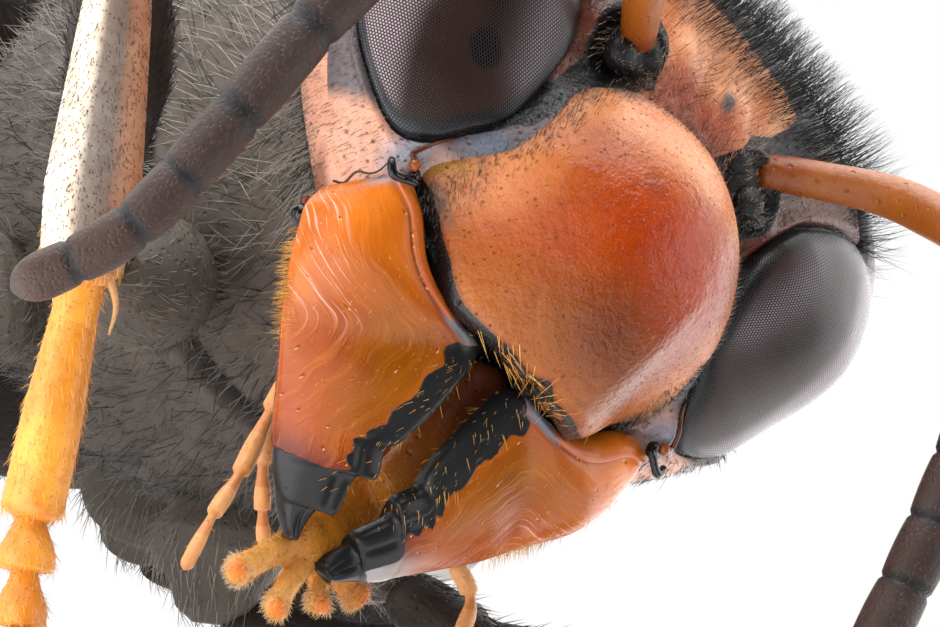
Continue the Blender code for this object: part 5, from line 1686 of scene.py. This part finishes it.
def coat_mandibles(material):
    coat = Coat("coat_mandibles", "mandible_orange")
    for side_name, side in SIDES:
        name = f"mandible_{side_name}_skin"
        front = in_head(lambda x, y, z: rise(z, -3.3, 0.4) * fall(z, -1.2, 0.2))
        coat.grow(scatter(name, 500, front), head_direction((0, 0.2, -1)), (0.04, 0.08), 0.003, 0.3, 0.3,
                  GOLD, wander=0.08)
        rim = in_head(lambda x, y, z: (y > 0.2) * rise(z, -2.7, 0.5) * fall(z, -1.65, 0.2))
        coat.grow(scatter(name, 600, rim), head_direction((side * 0.8, 0.5, -0.6)), (0.08, 0.18), 0.0032,
                  0.5, 0.2, GOLD, wander=0.06)
        inner = in_head(lambda x, y, z: (np.abs(x) < 0.5) * (z < -1.9) * (z > -3.4) * (y < 0.2))
        coat.grow(scatter(name, 70, inner), head_direction((side * 0.5, -0.2, -0.8)), (0.09, 0.18), 0.0038,
                  0.35, 0.1, GOLD, wander=0.02)
    coat.finish(material)


def coat_mouth(material):
    coat = Coat("coat_mouth", "mouth_yellow")
    low = in_head(lambda x, y, z: fall(z, -2.4, 0.5))
    coat.grow(scatter("tongue_skin", 4600, low), head_direction((-0.2, -0.2, -1)), (0.05, 0.1), 0.0032,
              0.3, 0.3, GOLD)
    pads = np.array([tip for tip, _ in TONGUE_LOBES])

    def round_pads(points):
        reach = np.linalg.norm(to_head(points)[:, None] - pads, axis=2).min(axis=1)
        return (reach > 0.1) * (reach < 0.24) * 1.0

    coat.grow(scatter("tongue_skin", 1300, round_pads), head_direction((-0.3, 0.2, -1)), (0.05, 0.1),
              0.003, 0.5, 0.2, PALE)
    for name in PALPS:
        placed = scatter(name + "_skin", 120, everywhere)
        coat.grow(placed, head_direction((0, 0, -1)), (0.04, 0.09), 0.003, 0.3, 0.3, GOLD)
    coat.finish(material)


def coat_body(material):
    for k in range(2):
        coat = Coat(f"coat_thorax_{k + 1}", "black_brown")
        placed = scatter("thorax_skin", 9000, everywhere)
        dark = two_tone(9000, 0.4, PILE_DARK, PILE_PALE)
        # The pile is painted lighter towards the top: painted light from above.
        dark = dark * (0.35 + 0.65 * eased((placed[0][:, 2:] - 3.2) / 1.6))
        coat.grow(placed, (0, 0.8, -0.1), (0.2, 0.5), 0.0065, 0.25, 0.6, dark, wander=0.25)
        if k:
            coat.grow(scatter("neck_skin", 900, everywhere), (0, 0.6, 0.2), (0.2, 0.4), 0.006, 0.6, 0.5,
                      INK)
            coat.grow(scatter("petiole_skin", 300, everywhere), (0, 1, 0), (0.15, 0.3), 0.006, 0.5, 0.5,
                      INK)
        coat.finish(material)
    coat = Coat("coat_gaster", "black_brown")
    for k, count in enumerate((2600, 2600, 2200, 1900, 1400, 900)):
        tint = GASTER_HAIR if k != 3 else BAND_HAIR
        coat.grow(scatter(f"gaster_{k + 1}_skin", count, everywhere), (0, 1, 0), (0.14, 0.3), 0.0055, 0.3,
                  0.4, tint, steps=2)
    coat.finish(material)


LEG_HAIR = (("coxa", 700, PALE_GREY, (0.2, 0.4)), ("femur", 1300, INK, (0.12, 0.28)),
            ("tibia", 1500, INK, (0.06, 0.13)), ("tarsus", 1900, GOLD, (0.07, 0.16)))


def coat_leg(coat, name, share):
    joints = np.array(LEGS[name], float)
    for first, (part, count, tint, length) in enumerate(LEG_HAIR):
        last = 6 if part == "tarsus" else first + 1
        lie = unit(joints[last] - joints[first])
        placed = scatter(f"{part}_{name}_skin", int(count * share), everywhere)
        if part == "tibia":
            along = ((placed[0] - joints[2]) @ lie / np.linalg.norm(joints[3] - joints[2]))[:, None]
            tint = np.where(along > 0.82, GOLD, INK)
            length = np.where(along > 0.88, (0.12, 0.22), length)
        if part == "tarsus":
            keep = placed[0][:, 2] > 0.15
            placed = tuple(values[keep] for values in placed)
        thin, steps = (0.005, 2) if part in ("coxa", "femur") else (0.0034, 3)
        coat.grow(placed, lie, length, thin, 0.25, 0.3, tint, steps, wander=0.1)


def coat_legs(material):
    for group in LEG_NAMES:
        coat = Coat(f"coat_legs_{group}", "leg_grey_brown")
        for side_name, _ in SIDES:
            coat_leg(coat, f"{group}_{side_name}", 1.0 if group == "fore" else 0.65)
        coat.finish(material)


FORWARD = np.array((0.2761, 0.9592, 0.0604))
RIGHT = np.array((0.6494, -0.2326, 0.7240))
DOWN = np.array((0.7085, -0.1607, -0.6871))
CAMERA_AT = np.array((-19.675, -69.019, 0.969))
WORLD_LOW = 0.03
SOFT_BOXES = (
    (FORWARD, 0.02, 0.5, 2.6),
    (0.1 * RIGHT - DOWN, 0.74, 0.93, 4.5),
    (RIGHT - 0.14 * FORWARD, 0.86, 0.97, 2.2),
)
BOUNCE_AT = (-6.4, -4.2, 0.22)
BOUNCE_SIZE = 0.0085
BOUNCE_WATTS = 0.0005
FILL = 0.75


LENS = 316.3
SENSOR = 36
FLOOR_HALF = 400.0


def matrix_of(columns):
    """The matrix with these four columns: three directions and a place."""
    matrix = Matrix.Identity(4)
    for k, column in enumerate(columns):
        for row in range(3):
            matrix[row][k] = column[row]
    return matrix


def make_camera():
    data = bpy.data.cameras.new("photo_view")
    camera = linked("photo_view", data)
    data.sensor_width = SENSOR
    data.lens = LENS
    data.clip_start, data.clip_end = 0.001, 10
    camera.matrix_world = matrix_of((RIGHT, -DOWN, -FORWARD, to_scene(CAMERA_AT)))
    bpy.context.scene.camera = camera


def aim_at(lamp, back, at):
    """Turns a lamp to shine against the direction back, from this place."""
    back = unit(back)
    side = unit(np.cross((0.1, 0.2, 1.0), back))
    lamp.matrix_world = matrix_of((side, np.cross(back, side), back, at))


def make_bounce():
    """A small square of light on the floor, shining up at the head."""
    data = bpy.data.lights.new("bounce", "AREA")
    data.shape = "RECTANGLE"
    data.size, data.size_y = BOUNCE_SIZE, BOUNCE_SIZE
    data.energy = BOUNCE_WATTS
    lamp = linked("bounce", data)
    aim_at(lamp, (0, 0, -1), to_scene(BOUNCE_AT))
    lamp.visible_camera = False


def make_fill():
    """A wide soft sun from the camera's side."""
    sun = bpy.data.lights.new("fill", "SUN")
    sun.energy, sun.angle = FILL, math.radians(50)
    lamp = linked("fill", sun)
    aim_at(lamp, FORWARD * -0.8 - RIGHT * 0.12 - DOWN * 0.55, to_scene(HEAD_AT))
    lamp.visible_glossy = False


def make_world():
    """A dark room with soft boxes, as in a light tent."""
    world = bpy.data.worlds.new("studio")
    bpy.context.scene.world = world
    world.use_nodes = True
    nodes, links = world.node_tree.nodes, world.node_tree.links
    way = nodes.new("ShaderNodeTexCoord")
    total = None
    for heading, low, high, strength in SOFT_BOXES:
        toward = nodes.new("ShaderNodeVectorMath")
        toward.operation = "DOT_PRODUCT"
        toward.inputs[1].default_value = unit(heading)
        links.new(way.outputs["Generated"], toward.inputs[0])
        box = nodes.new("ShaderNodeMapRange")
        box.interpolation_type = "SMOOTHSTEP"
        for key, value in (("From Min", low), ("From Max", high), ("To Min", 0.0), ("To Max", strength)):
            box.inputs[key].default_value = value
        links.new(toward.outputs["Value"], box.inputs["Value"])
        added = nodes.new("ShaderNodeMath")
        added.operation = "ADD"
        added.inputs[1].default_value = WORLD_LOW
        links.new(box.outputs[0], added.inputs[0])
        if total is not None:
            links.new(total, added.inputs[1])
        total = added.outputs[0]
    rays = nodes.new("ShaderNodeLightPath")
    seen = nodes.new("ShaderNodeMix")
    seen.inputs[3].default_value = 1.0
    links.new(rays.outputs["Is Camera Ray"], seen.inputs[0])
    links.new(total, seen.inputs[2])
    links.new(seen.outputs[0], nodes["Background"].inputs["Strength"])
    nodes["Background"].inputs["Color"].default_value = (1, 1, 1, 1)


def floor_finish():
    t = Tree("pale_floor")
    place = t.place()
    shade = t.ramp(t.noise(place, 0.05, 3), 0.3, 0.7, 0.82, 0.86)
    colour = t.add("ShaderNodeCombineColor", {0: shade, 1: shade, 2: shade}).outputs[0]
    return t.set(base_color=colour, roughness=0.75, normal=t.bump(t.noise(place, 3.0, 2), 0.01))


def make_floor():
    finish = floor_finish()
    s = FLOOR_HALF
    points = np.array(((-s, -s, 0), (s, -s, 0), (s, s, 0), (-s, s, 0)), float)
    mesh = bpy.data.meshes.new("floor")
    mesh.from_pydata((points * MM).tolist(), [], [(0, 1, 2, 3)])
    floor = linked("floor", mesh)
    mesh.materials.append(finish)


def main():
    make_camera()
    make_floor()
    make_world()
    make_bounce()
    make_fill()
    bpy.context.scene.view_settings.view_transform = "Standard"
    face = cuticle("head_cuticle", 11.0, 0.22, 0.01, 0.32, grain=0.004, level=0.45, pit_dark=0.7,
                   rugose=0.012)
    plate = cuticle("clypeus_cuticle", 12.0, 0.17, 0.012, 0.26, grain=0.004, mottle=0.35, level=0.4,
                    pit_dark=0.5, rugose=0.013)
    shiny = cuticle("joint_cuticle", 9.0, 0.05, 0.002, 0.12, grain=0.0005, mottle=0.1, pit_dark=0.0)
    velvet = cuticle("socket_cuticle", 14.0, 0.25, 0.006, 0.48, mottle=0.1, pit_dark=0.0, rugose=0.02,
                     level=0.35)
    soft = cuticle("mouth_cuticle", 9.0, 0.2, 0.01, 0.4, pit_dark=0.2)
    black = cuticle("body_cuticle", 12.0, 0.3, 0.01, 0.55, mottle=0.1, pit_dark=0.1, level=0.25, edge=0.05)
    leg = cuticle("leg_cuticle", 24.0, 0.3, 0.008, 0.42, pit_dark=0.75, mottle=0.5)
    foot = cuticle("foot_cuticle", 20.0, 0.2, 0.004, 0.35, pit_dark=0.5, mottle=0.5)
    feeler = cuticle("feeler_cuticle", 24.0, 0.4, 0.006, 0.5, pit_dark=0.25, mottle=0.3, level=0.35)
    make_head(face)
    make_clypeus(plate)
    make_eyes(eye_finish())
    make_mandibles(mandible_finish())
    make_hinges(shiny)
    make_sutures(shiny)
    make_sockets(velvet)
    make_ocelli(shiny)
    make_tongue(soft)
    make_palps(soft)
    for side_name, _ in SIDES:
        make_antenna(side_name, soft, feeler)
    make_thorax(black)
    make_gaster(black)
    make_wings(wing_finish())
    for name in LEGS:
        make_leg(name, {"dark": black, "leg": leg, "foot": foot})
    hair = hair_finish()
    coat_head(hair)
    coat_clypeus(hair)
    coat_mandibles(hair)
    coat_mouth(hair)
    coat_body(hair)
    coat_legs(hair)


main()
